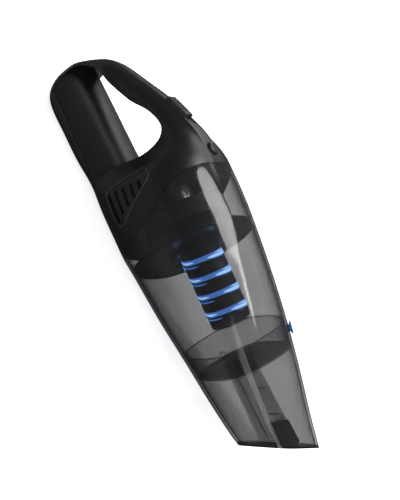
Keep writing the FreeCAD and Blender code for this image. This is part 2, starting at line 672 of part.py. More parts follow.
def fan_cover():
    """Two-sided cup round the fan, with an inlet eye and exhaust windows."""
    inner = FAN_DIAMETER + 2 * FAN_RUNNING_GAP
    outer = inner + 2 * FAN_COVER_WALL
    front = FAN_FRONT_X + FAN_RUNNING_GAP
    cup = rod(outer, MOTOR_FRONT_X, front + FAN_COVER_WALL)
    cup = cup.cut(rod(inner, MOTOR_FRONT_X + FAN_COVER_WALL, front))
    cup = cup.cut(rod(FAN_EYE_DIAMETER, front - 1, front + FAN_COVER_WALL + 1))
    cup = cup.cut(rod(FAN_HUB_DIAMETER - 2.0, MOTOR_FRONT_X - 1, MOTOR_FRONT_X + FAN_COVER_WALL + 1))
    for i in range(6):
        window = block(MOTOR_FRONT_X - 1, MOTOR_FRONT_X + FAN_COVER_WALL + 1, -7, 7, 24, 34)
        window.rotate(V(0, 0, 0), X_AXIS, 60 * i)
        window.translate(V(0, 0, AXIS_Z))
        cup = cup.cut(window)
    return cup


def fan_spacer():
    """Ring between the fan cover and the carrier's front wall, leading air to the fan."""
    start = FAN_FRONT_X + FAN_RUNNING_GAP + FAN_COVER_WALL
    bore = SPIGOT_DIAMETER + 2 * MOVING_GAP
    return tube(bore + 2 * SPACER_WALL, bore, start, CARRIER_FACE_X - FLANGE_THICKNESS)


def shaft():
    """Motor shaft from the rear bearing through the fan."""
    return rod(SHAFT_DIAMETER, MOTOR_REAR_X + 2.2, FAN_FRONT_X + 4)


def impeller_nut():
    """Hexagonal nut that holds the fan."""
    points = [on_circle(V(FAN_FRONT_X, 0, AXIS_Z), NUT_RADIUS, 60 * i) for i in range(7)]
    nut = Part.Face(Part.makePolygon(points)).extrude(V(NUT_LENGTH, 0, 0))
    return nut.cut(rod(SHAFT_DIAMETER, FAN_FRONT_X - 1, FAN_FRONT_X + 5))


# ---- Electrics -----------------------------------------------------------------------
CELL_Z = HOUSING_WALL + TRAY_WALL + CELL_DIAMETER / 2


def cell_places():
    """Middle y of each battery cell."""
    return [(i - (CELL_COUNT - 1) / 2) * CELL_PITCH for i in range(CELL_COUNT)]


def battery_cells():
    """Cylindrical cells side by side along the base."""
    cells = []
    for y in cell_places():
        cell = rod(CELL_DIAMETER, CELLS_REAR_X, CELLS_REAR_X + CELL_LENGTH, y, CELL_Z)
        cells.append(cell.fuse(rod(6.0, CELLS_REAR_X - 0.8, CELLS_REAR_X + 1, y, CELL_Z)))
    return Part.makeCompound(cells)


def battery_tray():
    """Tray on the housing floor with a wall at each end of the cells."""
    half = (CELL_COUNT - 1) / 2 * CELL_PITCH + CELL_DIAMETER / 2 + 0.8
    rear = CELLS_REAR_X - 1.2
    front = CELLS_REAR_X + CELL_LENGTH + 0.4
    rear_end = rear - TRAY_WALL
    front_end = front + TRAY_WALL
    tray = block(rear_end, front_end, -half, half, HOUSING_WALL, HOUSING_WALL + TRAY_WALL)
    top = CELL_Z + 3
    tray = tray.fuse(block(rear_end, rear, -half, half, HOUSING_WALL, top))
    tray = tray.fuse(block(front, front_end, -half, half, HOUSING_WALL, top))
    return one_solid(tray.common(skin(HOUSING_WALL + 2 * SEAT_GAP, rear_end - 5, front_end + 5)))


def charge_board():
    """Circuit board on top of the cells, with its larger components."""
    z = CELL_Z + CELL_DIAMETER / 2 + SEAT_GAP
    top = z + BOARD_THICKNESS
    rear = CELLS_REAR_X + (CELL_LENGTH - BOARD_LENGTH) / 2
    board = block(rear, rear + BOARD_LENGTH, -BOARD_WIDTH / 2, BOARD_WIDTH / 2, z, top)
    board = board.fuse(block(rear + 6, rear + 16, -9, 1, top, top + 4))
    board = board.fuse(Part.makeCylinder(4, 7, V(rear + 30, 6, top), Z_AXIS))
    return board.fuse(block(rear + 36, rear + 45, -8, -1, top, top + 3))


def charge_socket():
    """Round charging socket in the rear wall, with its centre pin."""
    rear = SOCKET_REAR_X
    barrel = rod(SOCKET_DIAMETER, rear, rear + SOCKET_LENGTH, 0, SOCKET_Z)
    barrel = barrel.cut(rod(SOCKET_BORE, rear - 1, rear + SOCKET_LENGTH - 4, 0, SOCKET_Z))
    return barrel.fuse(rod(SOCKET_PIN_DIAMETER, rear + 2, rear + SOCKET_LENGTH - 3, 0, SOCKET_Z))


def vent_foam():
    """Exhaust foam pads behind the slots, shaped to the side walls."""
    start = MOUNT_X + MOUNT_THICKNESS + SEAT_GAP
    front = VENT_LOW_FRONT_X + 2
    inset = HOUSING_WALL + 2 * SEAT_GAP
    pad = skin(inset, start, front).cut(skin(inset + FOAM_THICKNESS, start - 1, front + 1))
    pads = []
    low = VENT_LOW_Z - 5
    high = VENT_LOW_Z + (VENT_COUNT - 1) * VENT_PITCH + 5
    for side in (-1, 1):
        edge = side * WIDTH / 4
        span = block(start - 1, front + 1, min(edge, side * WIDTH), max(edge, side * WIDTH), low, high)
        pads.append(one_solid(pad.common(span).cut(parting_tool(-CARRIER_TAIL - 1, front + 30))))
    return Part.makeCompound(pads)


# ---- Power slider and switch ---------------------------------------------------------
def power_slider():
    """Thumb slider with grip ribs and a stem into the switch."""
    top = top_of(REAR_SKIN, SLIDER_X)
    half = SLIDER_LENGTH / 2
    deck = SLIDER_PROUD - SLIDER_RIB_HEIGHT
    cap = block(-half, half, -SLIDER_WIDTH / 2, SLIDER_WIDTH / 2, -SLIDER_SUNK, deck)
    cap = cap.makeFillet(SLIDER_EDGE, [e for e in cap.Edges if e.BoundBox.ZMin > deck - 0.1])
    for i in range(SLIDER_RIBS):
        x = (i - (SLIDER_RIBS - 1) / 2) * SLIDER_RIB_PITCH
        cap = cap.fuse(block(x - 0.7, x + 0.7, -4.5, 4.5, 0, SLIDER_PROUD))
    stem = block(-STEM_LENGTH / 2, STEM_LENGTH / 2, -STEM_WIDTH / 2, STEM_WIDTH / 2, -5.6, -SLIDER_SUNK + 0.5)
    return slope_frame(cap.fuse(stem), SLIDER_X, top)


def switch_module():
    """Slide switch under the slot, open at its top for the slider's stem."""
    top = top_of(REAR_SKIN, SLIDER_X)
    half_w = SWITCH_WIDTH / 2
    z_top = -HOUSING_WALL - SLIDER_SUNK - MOVING_GAP
    z_low = z_top - SWITCH_HEIGHT
    case = block(-SWITCH_LENGTH / 2 + 4, SWITCH_LENGTH / 2 + 4, -half_w, half_w, z_low, z_top)
    well_half = STEM_WIDTH / 2 + MOVING_GAP
    well_end = STEM_LENGTH / 2 + SLIDER_TRAVEL + MOVING_GAP
    well = block(-STEM_LENGTH / 2 - MOVING_GAP, well_end, -well_half, well_half, z_top - 2.5, z_top + 1)
    return slope_frame(case.cut(well), SLIDER_X, top)


# ---- Release button ------------------------------------------------------------------
ARM_TOP_Z = CATCH_Z - MOVING_GAP - LATCH_NOSE_RISE


def release_button():
    """Button with a rounded top and a stem that carries the latch arm."""
    base = LATCH_Z - BUTTON_SUNK
    radius = BUTTON_DIAMETER / 2
    height = BUTTON_SUNK + BUTTON_PROUD
    button = Part.makeCylinder(radius, height, V(BUTTON_X, 0, base), Z_AXIS)
    top_edges = [e for e in button.Edges if e.BoundBox.ZMin > base + height - 0.01]
    button = button.makeFillet(BUTTON_DOME, top_edges)
    stem_low = LATCH_Z - GUIDE_DEPTH
    stem = Part.makeCylinder(BUTTON_STEM_DIAMETER / 2, base - stem_low, V(BUTTON_X, 0, stem_low), Z_AXIS)
    return button.fuse(stem)


def latch_arm():
    """Arm from the button's stem to the catch on the dust bin, with a raised nose."""
    half = LATCH_ARM_WIDTH / 2
    nose_start = CATCH_X + CATCH_LENGTH + 2 * SEAT_GAP
    nose_end = nose_start + LATCH_NOSE_LENGTH
    low = ARM_TOP_Z - LATCH_ARM_THICKNESS
    arm = block(BUTTON_X - half, nose_end, -half, half, low, ARM_TOP_Z)
    arm = arm.fuse(block(nose_start, nose_end, -half, half, low, CATCH_Z - MOVING_GAP))
    hole = Part.makeCylinder(BUTTON_STEM_DIAMETER / 2, 20, V(BUTTON_X, 0, low - 5), Z_AXIS)
    return arm.cut(hole)


GUIDE_TOP_Z = LATCH_Z - GUIDE_DEPTH + STEM_OVERLAP


def button_guide():
    """Bridge between the housing walls with a sleeve for the button's stem."""
    low = GUIDE_TOP_Z - GUIDE_HEIGHT
    rear = BUTTON_X - GUIDE_LENGTH / 2
    front = BUTTON_X + GUIDE_LENGTH / 2
    bridge = skin(HOUSING_WALL + 2 * SEAT_GAP, rear, front)
    bridge = bridge.common(block(rear - 1, front + 1, -FAR, FAR, low, GUIDE_TOP_Z))
    hole = Part.makeCylinder(BUTTON_STEM_DIAMETER / 2 + MOVING_GAP, 30, V(BUTTON_X, 0, low - 10), Z_AXIS)
    return one_solid(bridge.cut(hole))


def button_spring():
    """Coil spring between the guide and the latch arm."""
    height = ARM_TOP_Z - LATCH_ARM_THICKNESS - GUIDE_TOP_Z - 2 * SPRING_WIRE
    radius = BUTTON_STEM_DIAMETER / 2 + SPRING_WIRE
    low = GUIDE_TOP_Z + SPRING_WIRE
    pitch = height / SPRING_TURNS
    helix = Part.makeLongHelix(pitch, height, radius)
    helix.translate(V(BUTTON_X, 0, low))
    along = V(0, 2 * math.pi * radius, pitch)
    ring = Part.Wire([Part.makeCircle(SPRING_WIRE / 2, V(BUTTON_X + radius, 0, low), along)])
    return Part.Wire(helix.Edges).makePipeShell([ring], True, True)


# ---- Filter --------------------------------------------------------------------------
def filter_base():
    """Turning base of the filter with a spigot into the carrier and three grip tabs."""
    front = CARRIER_FACE_X + MOVING_GAP + FILTER_BASE_THICKNESS
    base = rod(FILTER_BASE_DIAMETER, CARRIER_FACE_X + MOVING_GAP, front)
    base = base.fuse(rod(SPIGOT_DIAMETER, CARRIER_FACE_X - SPIGOT_LENGTH, front))
    for i in range(3):
        tab_top = FILTER_BASE_DIAMETER / 2 - 1.5
        tab = block(front - 0.5, front + 4, -4, 4, tab_top - 2.5, tab_top)
        tab.rotate(V(0, 0, 0), X_AXIS, 120 * i + 60)
        tab.translate(V(0, 0, AXIS_Z))
        base = base.fuse(tab)
    return base.cut(rod(CORE_DIAMETER - 2 * CORE_PLEAT_DEPTH, 0, LONG))


BASE_FRONT_X = CARRIER_FACE_X + MOVING_GAP + FILTER_BASE_THICKNESS
CAGE_FRONT_X = FILTER_FRONT_X - FILTER_CAP_LENGTH


def filter_cage():
    """Cage of bars round the pleats."""
    inner = CORE_DIAMETER + 2 * SEAT_GAP
    outer = inner + 2 * CAGE_WALL
    cage = tube(outer, inner, BASE_FRONT_X, CAGE_FRONT_X)
    rows = 4
    bay = (CAGE_FRONT_X - BASE_FRONT_X - 2.0) / rows
    for row in range(rows):
        start = BASE_FRONT_X + 2.0 + row * bay
        for i in range(4):
            window = block(start, start + bay - 2.0, -9, 9, 8, FAR)
            window.rotate(V(0, 0, 0), X_AXIS, 90 * i)
            window.translate(V(0, 0, AXIS_Z))
            cage = cage.cut(window)
    return cage


def filter_sleeve():
    """Fine mesh sleeve over the cage."""
    inner = CORE_DIAMETER + 2 * SEAT_GAP + 2 * CAGE_WALL + 2 * SLEEVE_GAP
    return tube(FILTER_DIAMETER, inner, BASE_FRONT_X, CAGE_FRONT_X)


def filter_core():
    """Pleated paper core."""
    points = []
    for i in range(2 * CORE_PLEATS):
        radius = CORE_DIAMETER / 2 - (CORE_PLEAT_DEPTH if i % 2 else 0.0)
        angle = math.pi * i / CORE_PLEATS
        points.append(V(BASE_FRONT_X, radius * math.cos(angle), AXIS_Z + radius * math.sin(angle)))
    points.append(points[0])
    star = Part.Face(Part.makePolygon(points)).extrude(V(CAGE_FRONT_X - BASE_FRONT_X, 0, 0))
    return star.cut(rod(CORE_DIAMETER - 2 * CORE_PLEAT_DEPTH - 3, 0, LONG))


def filter_cap():
    """Closed front cap of the filter with a softened edge."""
    cap = rod(FILTER_DIAMETER, CAGE_FRONT_X, FILTER_FRONT_X)
    front_edges = [e for e in cap.Edges if e.BoundBox.XMin > FILTER_FRONT_X - 0.01]
    return cap.makeFillet(1.5, front_edges)


def swirl_bands():
    """Four thin bands wound round the sleeve."""
    bands = []
    bay = (CAGE_FRONT_X - BASE_FRONT_X) / BAND_COUNT
    inner = FILTER_DIAMETER
    for i in range(BAND_COUNT):
        start = BASE_FRONT_X + (i + 0.5) * bay - BAND_WIDTH / 2
        bands.append(tube(inner + 2 * BAND_THICKNESS, inner, start, start + BAND_WIDTH))
    return Part.makeCompound(bands)


# ---- Dust bin ------------------------------------------------------------------------
MOUTH_DIRECTION = V(math.cos(math.radians(MOUTH_TILT)), 0, -math.sin(math.radians(MOUTH_TILT)))


def lower_lip_z():
    """Height of the outer skin's underside at the lower lip."""
    line = Part.makeLine(V(LIP_X, 0, -FAR), V(LIP_X, 0, FAR))
    return min(v.Point.z for v in line.common(BIN_SKIN).Vertexes)


def ahead_of_mouth(inset):
    """Everything ahead of the mouth plane, moved back by the inset."""
    place = V(LIP_X, 0, lower_lip_z()) - MOUTH_DIRECTION * inset
    cutter = Part.makeBox(FAR, 2 * FAR, 2 * FAR, V(0, -FAR, -FAR))
    cutter.rotate(V(0, 0, 0), Y_AXIS, MOUTH_TILT)
    cutter.translate(place)
    return cutter


def duct_top_z(x):
    """Height of the duct's top, which rises towards the mouth."""
    share = (x - DUCT_REAR_X) / (LIP_X + DUCT_RISE_REACH - DUCT_REAR_X)
    return DUCT_REAR_TOP_Z + share * (DUCT_FRONT_TOP_Z - DUCT_REAR_TOP_Z)


def on_circle(centre, radius, degrees):
    """Point on a circle across X, with the angle measured from +Y towards +Z."""
    angle = math.radians(degrees)
    return centre + V(0, radius * math.cos(angle), radius * math.sin(angle))


def duct_solid(inset):
    """Rounded duct from the flap to beyond the mouth."""
    wires = []
    half = DUCT_HALF_WIDTH - inset
    low = DUCT_LOW_Z + inset
    corner = DUCT_CORNER - inset
    for x in (DUCT_REAR_X, on_bin(1.05)):
        high = duct_top_z(x) - inset
        edges = []
        for y, z, turn in ((half, high, 0), (-half, high, 90), (-half, low, 180), (half, low, 270)):
            centre = V(x, y - math.copysign(corner, y), z - math.copysign(corner, z - DUCT_MIDDLE_Z))
            start, middle, end = [on_circle(centre, corner, turn + step) for step in (0, 45, 90)]
            edges.append(Part.Arc(start, middle, end).toShape())
        corners = list(edges)
        for i, edge in enumerate(corners):
            after = corners[(i + 1) % len(corners)]
            edges.append(Part.makeLine(edge.Vertexes[-1].Point, after.Vertexes[0].Point))
        wires.append(Part.Wire(Part.__sortEdges__(edges)))
    return Part.makeLoft(wires, True, True)


def bin_hollow():
    """Space inside the dust bin's walls."""
    return skin(BIN_WALL, PARTING_REAR_X - 2, on_bin(1.0)).cut(below(BIN_WALL))


def dust_bin():
    """Smoked shell from the parting line to the mouth plate."""
    shell = BIN_SKIN.cut(below(0.0)).cut(parting_tool(MOVING_GAP, PARTING_REAR_X - 10))
    return one_solid(shell.cut(bin_hollow()).cut(ahead_of_mouth(RIM_THICKNESS)).cut(plug_hole()))


def nozzle_rim():
    """Black plate that closes the mouth round the duct."""
    tip = skin(0.0, LIP_X - 15, on_bin(1.0)).cut(ahead_of_mouth(0.0))
    plate = tip.common(ahead_of_mouth(RIM_THICKNESS))
    return one_solid(plate.cut(duct_solid(DUCT_WALL)))


def suction_duct():
    """Duct from the mouth plate back to the partition."""
    return one_solid(duct_solid(0.0).cut(duct_solid(DUCT_WALL)).cut(ahead_of_mouth(RIM_THICKNESS)))


def partition():
    """Cup across the bin that keeps dust behind the duct, with ears for the flap's pin."""
    inset = BIN_WALL + SEAT_GAP
    rear = DUCT_REAR_X - PARTITION_DEPTH
    cup = skin(inset, rear, DUCT_REAR_X)
    cup = cup.cut(skin(inset + PARTITION_WALL, rear - 1, DUCT_REAR_X - PARTITION_WALL))
    half = DUCT_HALF_WIDTH - DUCT_WALL
    low = DUCT_LOW_Z + DUCT_WALL
    cup = cup.cut(block(DUCT_REAR_X - 5, DUCT_REAR_X + 1, -half, half, low, DUCT_REAR_TOP_Z - DUCT_WALL))
    ear_y = DUCT_HALF_WIDTH + EAR_GAP
    for side in (-1, 1):
        y0 = side * ear_y
        y1 = side * (ear_y + EAR_THICKNESS)
        rear = HINGE_X - HINGE_EYE_DIAMETER / 2
        ear_half = HINGE_EYE_DIAMETER / 2
        ear = block(rear, DUCT_REAR_X - 1, min(y0, y1), max(y0, y1), HINGE_Z - ear_half, HINGE_Z + ear_half)
        cup = cup.fuse(ear)
    pin_room = HINGE_PIN_DIAMETER / 2 + PIN_CLEARANCE
    cup = cup.cut(plug_hole())
    return one_solid(cup.cut(Part.makeCylinder(pin_room, 2 * FAR, V(HINGE_X, -FAR, HINGE_Z), Y_AXIS)))


# ---- Flap valve ----------------------------------------------------------------------
HINGE_X = DUCT_REAR_X - PARTITION_WALL - MOVING_GAP - HINGE_EYE_DIAMETER / 2 - 0.3
HINGE_Z = DUCT_REAR_TOP_Z + HINGE_EYE_DIAMETER / 2


def flap_valve():
    """Soft flap that hangs over the rear end of the duct."""
    front = DUCT_REAR_X - PARTITION_WALL - MOVING_GAP
    half = DUCT_HALF_WIDTH - 0.2
    flap = block(front - FLAP_THICKNESS, front, -half, half, DUCT_LOW_Z - FLAP_MARGIN, HINGE_Z)
    eye = Part.makeCylinder(HINGE_EYE_DIAMETER / 2, 2 * half, V(HINGE_X, -half, HINGE_Z), Y_AXIS)
    bridge = block(HINGE_X, front, -half, half, HINGE_Z - 1.2, HINGE_Z + 1.2)
    shape = flap.fuse(eye).fuse(bridge)
    return shape.cut(Part.makeCylinder(HINGE_PIN_DIAMETER / 2, 2 * FAR, V(HINGE_X, -FAR, HINGE_Z), Y_AXIS))


def flap_pin():
    """Pin through the flap's eye and both ears."""
    reach = DUCT_HALF_WIDTH + EAR_GAP + EAR_THICKNESS + 0.5
    return Part.makeCylinder(HINGE_PIN_DIAMETER / 2, 2 * reach, V(HINGE_X, -reach, HINGE_Z), Y_AXIS)


# ---- Mouth brush ---------------------------------------------------------------------
def brush_span(z_low, z_high):
    """Block under the duct's ceiling that ends at the mouth plate."""
    half = DUCT_HALF_WIDTH - DUCT_WALL - BRUSH_SIDE_GAP
    span = block(LIP_X - BRUSH_DEPTH, on_bin(1.0), -half, half, z_low, z_high)
    return one_solid(span.cut(ahead_of_mouth(BRUSH_SETBACK)))


def duct_ceiling_z():
    """Lowest height of the duct's ceiling along the brush."""
    return duct_top_z(LIP_X - BRUSH_DEPTH) - DUCT_WALL - SEAT_GAP


def brush_holder():
    """Strip that carries the bristles."""
    top = duct_ceiling_z()
    return brush_span(top - BRUSH_HOLDER_HEIGHT, top)


def brush_bristles():
    """Rows of bristles below the strip, as one block."""
    top = duct_ceiling_z() - BRUSH_HOLDER_HEIGHT
    return brush_span(top - BRUSH_HEIGHT + BRUSH_HOLDER_HEIGHT, top)


def bin_catch():
    """Rib under the top of the dust bin for the latch."""
    half = CATCH_WIDTH / 2
    return one_solid(bin_hollow().common(block(CATCH_X, CATCH_X + CATCH_LENGTH, -half, half, CATCH_Z, FAR)))


# ---- Drain plug ----------------------------------------------------------------------
PLUG_NORMAL = normal_of(BIN_SKIN, PLUG_X, PLUG_Y)
PLUG_POINT = V(PLUG_X, PLUG_Y, top_of(BIN_SKIN, PLUG_X, PLUG_Y))


def plug_hole():
    """Hole through the bin's wall for the plug."""
    start = PLUG_POINT - PLUG_NORMAL * 8
    return Part.makeCylinder(PLUG_STEM_DIAMETER / 2 + MOVING_GAP, 16, start, PLUG_NORMAL)


def drain_plug():
    """Soft plug with a flat head on the far shoulder of the bin."""
    head_low = PLUG_POINT + PLUG_NORMAL * PLUG_LIFT
    head = Part.makeCylinder(PLUG_HEAD_DIAMETER / 2, PLUG_HEAD_THICKNESS, head_low, PLUG_NORMAL)
    low = head_low - PLUG_NORMAL * PLUG_STEM_LENGTH
    return head.fuse(Part.makeCylinder(PLUG_STEM_DIAMETER / 2, PLUG_STEM_LENGTH + 0.2, low, PLUG_NORMAL))


def build():
    """Every node of the part, by name."""
    right, left, screws = housing_halves()
    return {
        "housing_right": right,
        "housing_left": left,
        "housing_screws": screws,
        "filter_carrier": carrier(),
        "carrier_gasket": gasket(),
        "motor_mount": motor_mount(),
        "motor_can": motor_can(),
        "motor_end_cap": motor_end_cap(),
        "motor_magnets": motor_magnets(),
        "motor_armature": motor_armature(),
        "motor_shaft": shaft(),
        "fan_impeller": impeller(),
        "fan_cover": fan_cover(),
        "fan_inlet_ring": fan_spacer(),
        "impeller_nut": impeller_nut(),
        "vent_foam": vent_foam(),
        "battery_cells": battery_cells(),
        "battery_tray": battery_tray(),
        "charge_board": charge_board(),
        "charge_socket": charge_socket(),
        "power_slider": power_slider(),
        "switch_module": switch_module(),
        "release_button": release_button(),
        "latch_arm": latch_arm(),
        "button_guide": button_guide(),
        "button_spring": button_spring(),
        "filter_base": filter_base(),
        "filter_cage": filter_cage(),
        "filter_sleeve": filter_sleeve(),
        "filter_core": filter_core(),
        "filter_cap": filter_cap(),
        "swirl_bands": swirl_bands(),
        "dust_bin": dust_bin(),
        "bin_partition": partition(),
        "suction_duct": suction_duct(),
        "nozzle_rim": nozzle_rim(),
        "brush_holder": brush_holder(),
        "brush_bristles": brush_bristles(),
        "bin_catch": bin_catch(),
        "flap_valve": flap_valve(),
        "flap_pin": flap_pin(),
        "drain_plug": drain_plug(),
    }


def main():
    """Write one file for each node, with the origin at the bottom centre of the box."""
    os.makedirs("parts", exist_ok=True)
    nodes = build()
    front = max(nodes[name].optimalBoundingBox().XMax for name in ("nozzle_rim", "dust_bin"))
    for name, shape in nodes.items():
        shape.translate(V(-front / 2, 0, 0))
        shape.exportStep("parts/" + name + ".step")
        print(name, len(shape.Solids), shape.isValid(), round(shape.Volume / 1000, 2))
    print("length", round(front, 2))


main()
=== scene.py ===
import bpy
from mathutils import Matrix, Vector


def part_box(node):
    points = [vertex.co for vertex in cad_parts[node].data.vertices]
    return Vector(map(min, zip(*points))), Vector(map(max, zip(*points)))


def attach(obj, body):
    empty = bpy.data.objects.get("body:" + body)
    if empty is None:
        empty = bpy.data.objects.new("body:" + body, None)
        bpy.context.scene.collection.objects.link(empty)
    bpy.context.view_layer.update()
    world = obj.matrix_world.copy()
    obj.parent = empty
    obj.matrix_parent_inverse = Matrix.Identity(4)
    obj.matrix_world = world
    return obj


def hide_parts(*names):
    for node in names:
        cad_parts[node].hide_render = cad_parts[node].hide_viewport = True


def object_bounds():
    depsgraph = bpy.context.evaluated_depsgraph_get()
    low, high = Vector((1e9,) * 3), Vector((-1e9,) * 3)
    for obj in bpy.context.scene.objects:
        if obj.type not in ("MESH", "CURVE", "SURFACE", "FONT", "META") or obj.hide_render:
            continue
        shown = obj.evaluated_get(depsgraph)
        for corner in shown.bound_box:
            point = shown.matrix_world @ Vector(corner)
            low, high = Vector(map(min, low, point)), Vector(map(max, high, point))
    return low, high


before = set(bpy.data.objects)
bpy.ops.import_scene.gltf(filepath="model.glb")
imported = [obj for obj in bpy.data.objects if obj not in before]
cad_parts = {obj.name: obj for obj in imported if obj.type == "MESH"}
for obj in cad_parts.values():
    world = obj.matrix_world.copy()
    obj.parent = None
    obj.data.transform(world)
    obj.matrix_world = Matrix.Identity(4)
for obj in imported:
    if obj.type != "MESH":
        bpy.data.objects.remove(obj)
"""Cordless handheld vacuum: loop-handle motor body, smoked dust bin, filter and slanted nozzle.

Lengths are in metres in the row's frame. Sizes drawn along the object start at its rear end.
"""
import logging
import math
from dataclasses import dataclass
from enum import Enum
from typing import Iterable, Sequence

import bmesh
import bpy
import numpy as np
from mathutils import Matrix, Vector
from mathutils.bvhtree import BVHTree

CAD_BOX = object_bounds()
REAR_X = CAD_BOX[0][0]       # rear end of the handle
HEIGHT = 0.122
WIDTH = 0.1164
AXIS_Z = 0.065               # common axis of the motor, fan and filter
MM = 0.001
WELD = 2e-6                  # corners closer than this become one
LIT_POINT = (0.0, 0.0, 0.06)   # what the lights face

log = logging.getLogger("handheld_vacuum")


class Body(Enum):
    """The moving bodies that a piece can ride on."""

    MAIN = "body"
    ROTOR = "rotor"
    SLIDER = "slider"
    RELEASE = "release"
    FILTER = "filter"
    BIN = "bin"
    FLAP = "flap"
    PLUG = "plug"


# ---- Shader groups -------------------------------------------------------------------
def new_group(name: str, inputs: Iterable[tuple[str, float]], outputs: Iterable[tuple[str, str]]):
    """Make an empty shader group with number inputs.

    Args:
        name: the group's name.
        inputs: name and default of each number that goes in.
        outputs: name and socket type of each result.

    Returns:
        The group, its input node and its output node.
    """
    group = bpy.data.node_groups.new(name, "ShaderNodeTree")
    for label, value in inputs:
        socket = group.interface.new_socket(
            name=label, in_out="INPUT", socket_type="NodeSocketFloat")
        socket.default_value = value
    for label, kind in outputs:
        group.interface.new_socket(name=label, in_out="OUTPUT", socket_type=kind)
    return group, group.nodes.new("NodeGroupInput"), group.nodes.new("NodeGroupOutput")


def grain_group() -> bpy.types.NodeTree:
    """Fine moulded grain as a normal."""
    sizes = (("Scale", 2500.0), ("Depth", 0.1))
    group, start, end = new_group("moulded_grain", sizes, (("Normal", "NodeSocketVector"),))
    place = group.nodes.new("ShaderNodeTexCoord")
    noise = group.nodes.new("ShaderNodeTexNoise")
    noise.inputs["Detail"].default_value = 3.0
    bump = group.nodes.new("ShaderNodeBump")
    bump.inputs["Distance"].default_value = 0.0002
    group.links.new(place.outputs["Object"], noise.inputs["Vector"])
    group.links.new(start.outputs["Scale"], noise.inputs["Scale"])
    group.links.new(start.outputs["Depth"], bump.inputs["Strength"])
    group.links.new(noise.outputs["Fac"], bump.inputs["Height"])
    group.links.new(bump.outputs["Normal"], end.inputs["Normal"])
    return group


def handling_group() -> bpy.types.NodeTree:
    """Uneven sheen and faint dust where hands and air leave it."""
    group, start, end = new_group(
        "handling",
        (("Scale", 28.0), ("Low", 0.3), ("High", 0.4)),
        (("Roughness", "NodeSocketFloat"), ("Mask", "NodeSocketFloat")),
    )
    place = group.nodes.new("ShaderNodeTexCoord")
    noise = group.nodes.new("ShaderNodeTexNoise")
    noise.inputs["Detail"].default_value = 6.0
    noise.inputs["Roughness"].default_value = 0.6
    spread = group.nodes.new("ShaderNodeMapRange")
    spread.inputs["From Min"].default_value = 0.32
    spread.inputs["From Max"].default_value = 0.68
    group.links.new(place.outputs["Object"], noise.inputs["Vector"])
    group.links.new(start.outputs["Scale"], noise.inputs["Scale"])
    group.links.new(noise.outputs["Fac"], spread.inputs["Value"])
    group.links.new(start.outputs["Low"], spread.inputs["To Min"])
    group.links.new(start.outputs["High"], spread.inputs["To Max"])
    group.links.new(spread.outputs["Result"], end.inputs["Roughness"])
    group.links.new(noise.outputs["Fac"], end.inputs["Mask"])
    return group


@dataclass(frozen=True)
class Finish:
    """A surface finish: colour, gloss, grain and how see-through it is."""

    name: str
    colour: tuple[float, float, float]
    roughness: float = 0.4
    spread: float = 0.06         # how much the roughness varies over the surface
    metallic: float = 0.0
    coat: float = 0.0
    coat_roughness: float = 0.06
    specular: float = 0.5
    alpha: float = 1.0
    grain_scale: float = 2500.0
    grain_depth: float = 0.12
    tint: float = 0.25           # how much lighter the colour gets in patches
    glow: float = 0.0

    def material(self) -> bpy.types.Material:
        """Build the material, or return it if it is already there.

        Returns:
            The finished material.
        """
        label = "finish_" + self.name
        known = bpy.data.materials.get(label)
        if known:
            return known
        made = bpy.data.materials.new(label)
        made.use_nodes = True
        nodes, links = made.node_tree.nodes, made.node_tree.links
        shader = nodes["Principled BSDF"]
        shader.inputs["Metallic"].default_value = self.metallic
        shader.inputs["Coat Weight"].default_value = self.coat
        shader.inputs["Coat Roughness"].default_value = self.coat_roughness
        shader.inputs["Specular IOR Level"].default_value = self.specular
        shader.inputs["Alpha"].default_value = self.alpha
        handling = nodes.new("ShaderNodeGroup")
        handling.node_tree = bpy.data.node_groups["handling"]
        handling.inputs["Low"].default_value = max(self.roughness - self.spread, 0.02)
        handling.inputs["High"].default_value = self.roughness + self.spread
        links.new(handling.outputs["Roughness"], shader.inputs["Roughness"])
        grain = nodes.new("ShaderNodeGroup")
        grain.node_tree = bpy.data.node_groups["moulded_grain"]
        grain.inputs["Scale"].default_value = self.grain_scale
        grain.inputs["Depth"].default_value = self.grain_depth
        links.new(grain.outputs["Normal"], shader.inputs["Normal"])
        mix = nodes.new("ShaderNodeMix")
        mix.data_type = "RGBA"
        mix.inputs["A"].default_value = (*self.colour, 1.0)
        lighter = [min(c * (1.0 + self.tint), 1.0) for c in self.colour]
        mix.inputs["B"].default_value = (*lighter, 1.0)
        links.new(handling.outputs["Mask"], mix.inputs["Factor"])
        links.new(mix.outputs["Result"], shader.inputs["Base Color"])
        if self.glow:
            links.new(mix.outputs["Result"], shader.inputs["Emission Color"])
            shader.inputs["Emission Strength"].default_value = self.glow
        self.extra(made)
        return made

    def extra(self, made: bpy.types.Material) -> None:
        """Add what only this finish has; nothing on a plain one."""


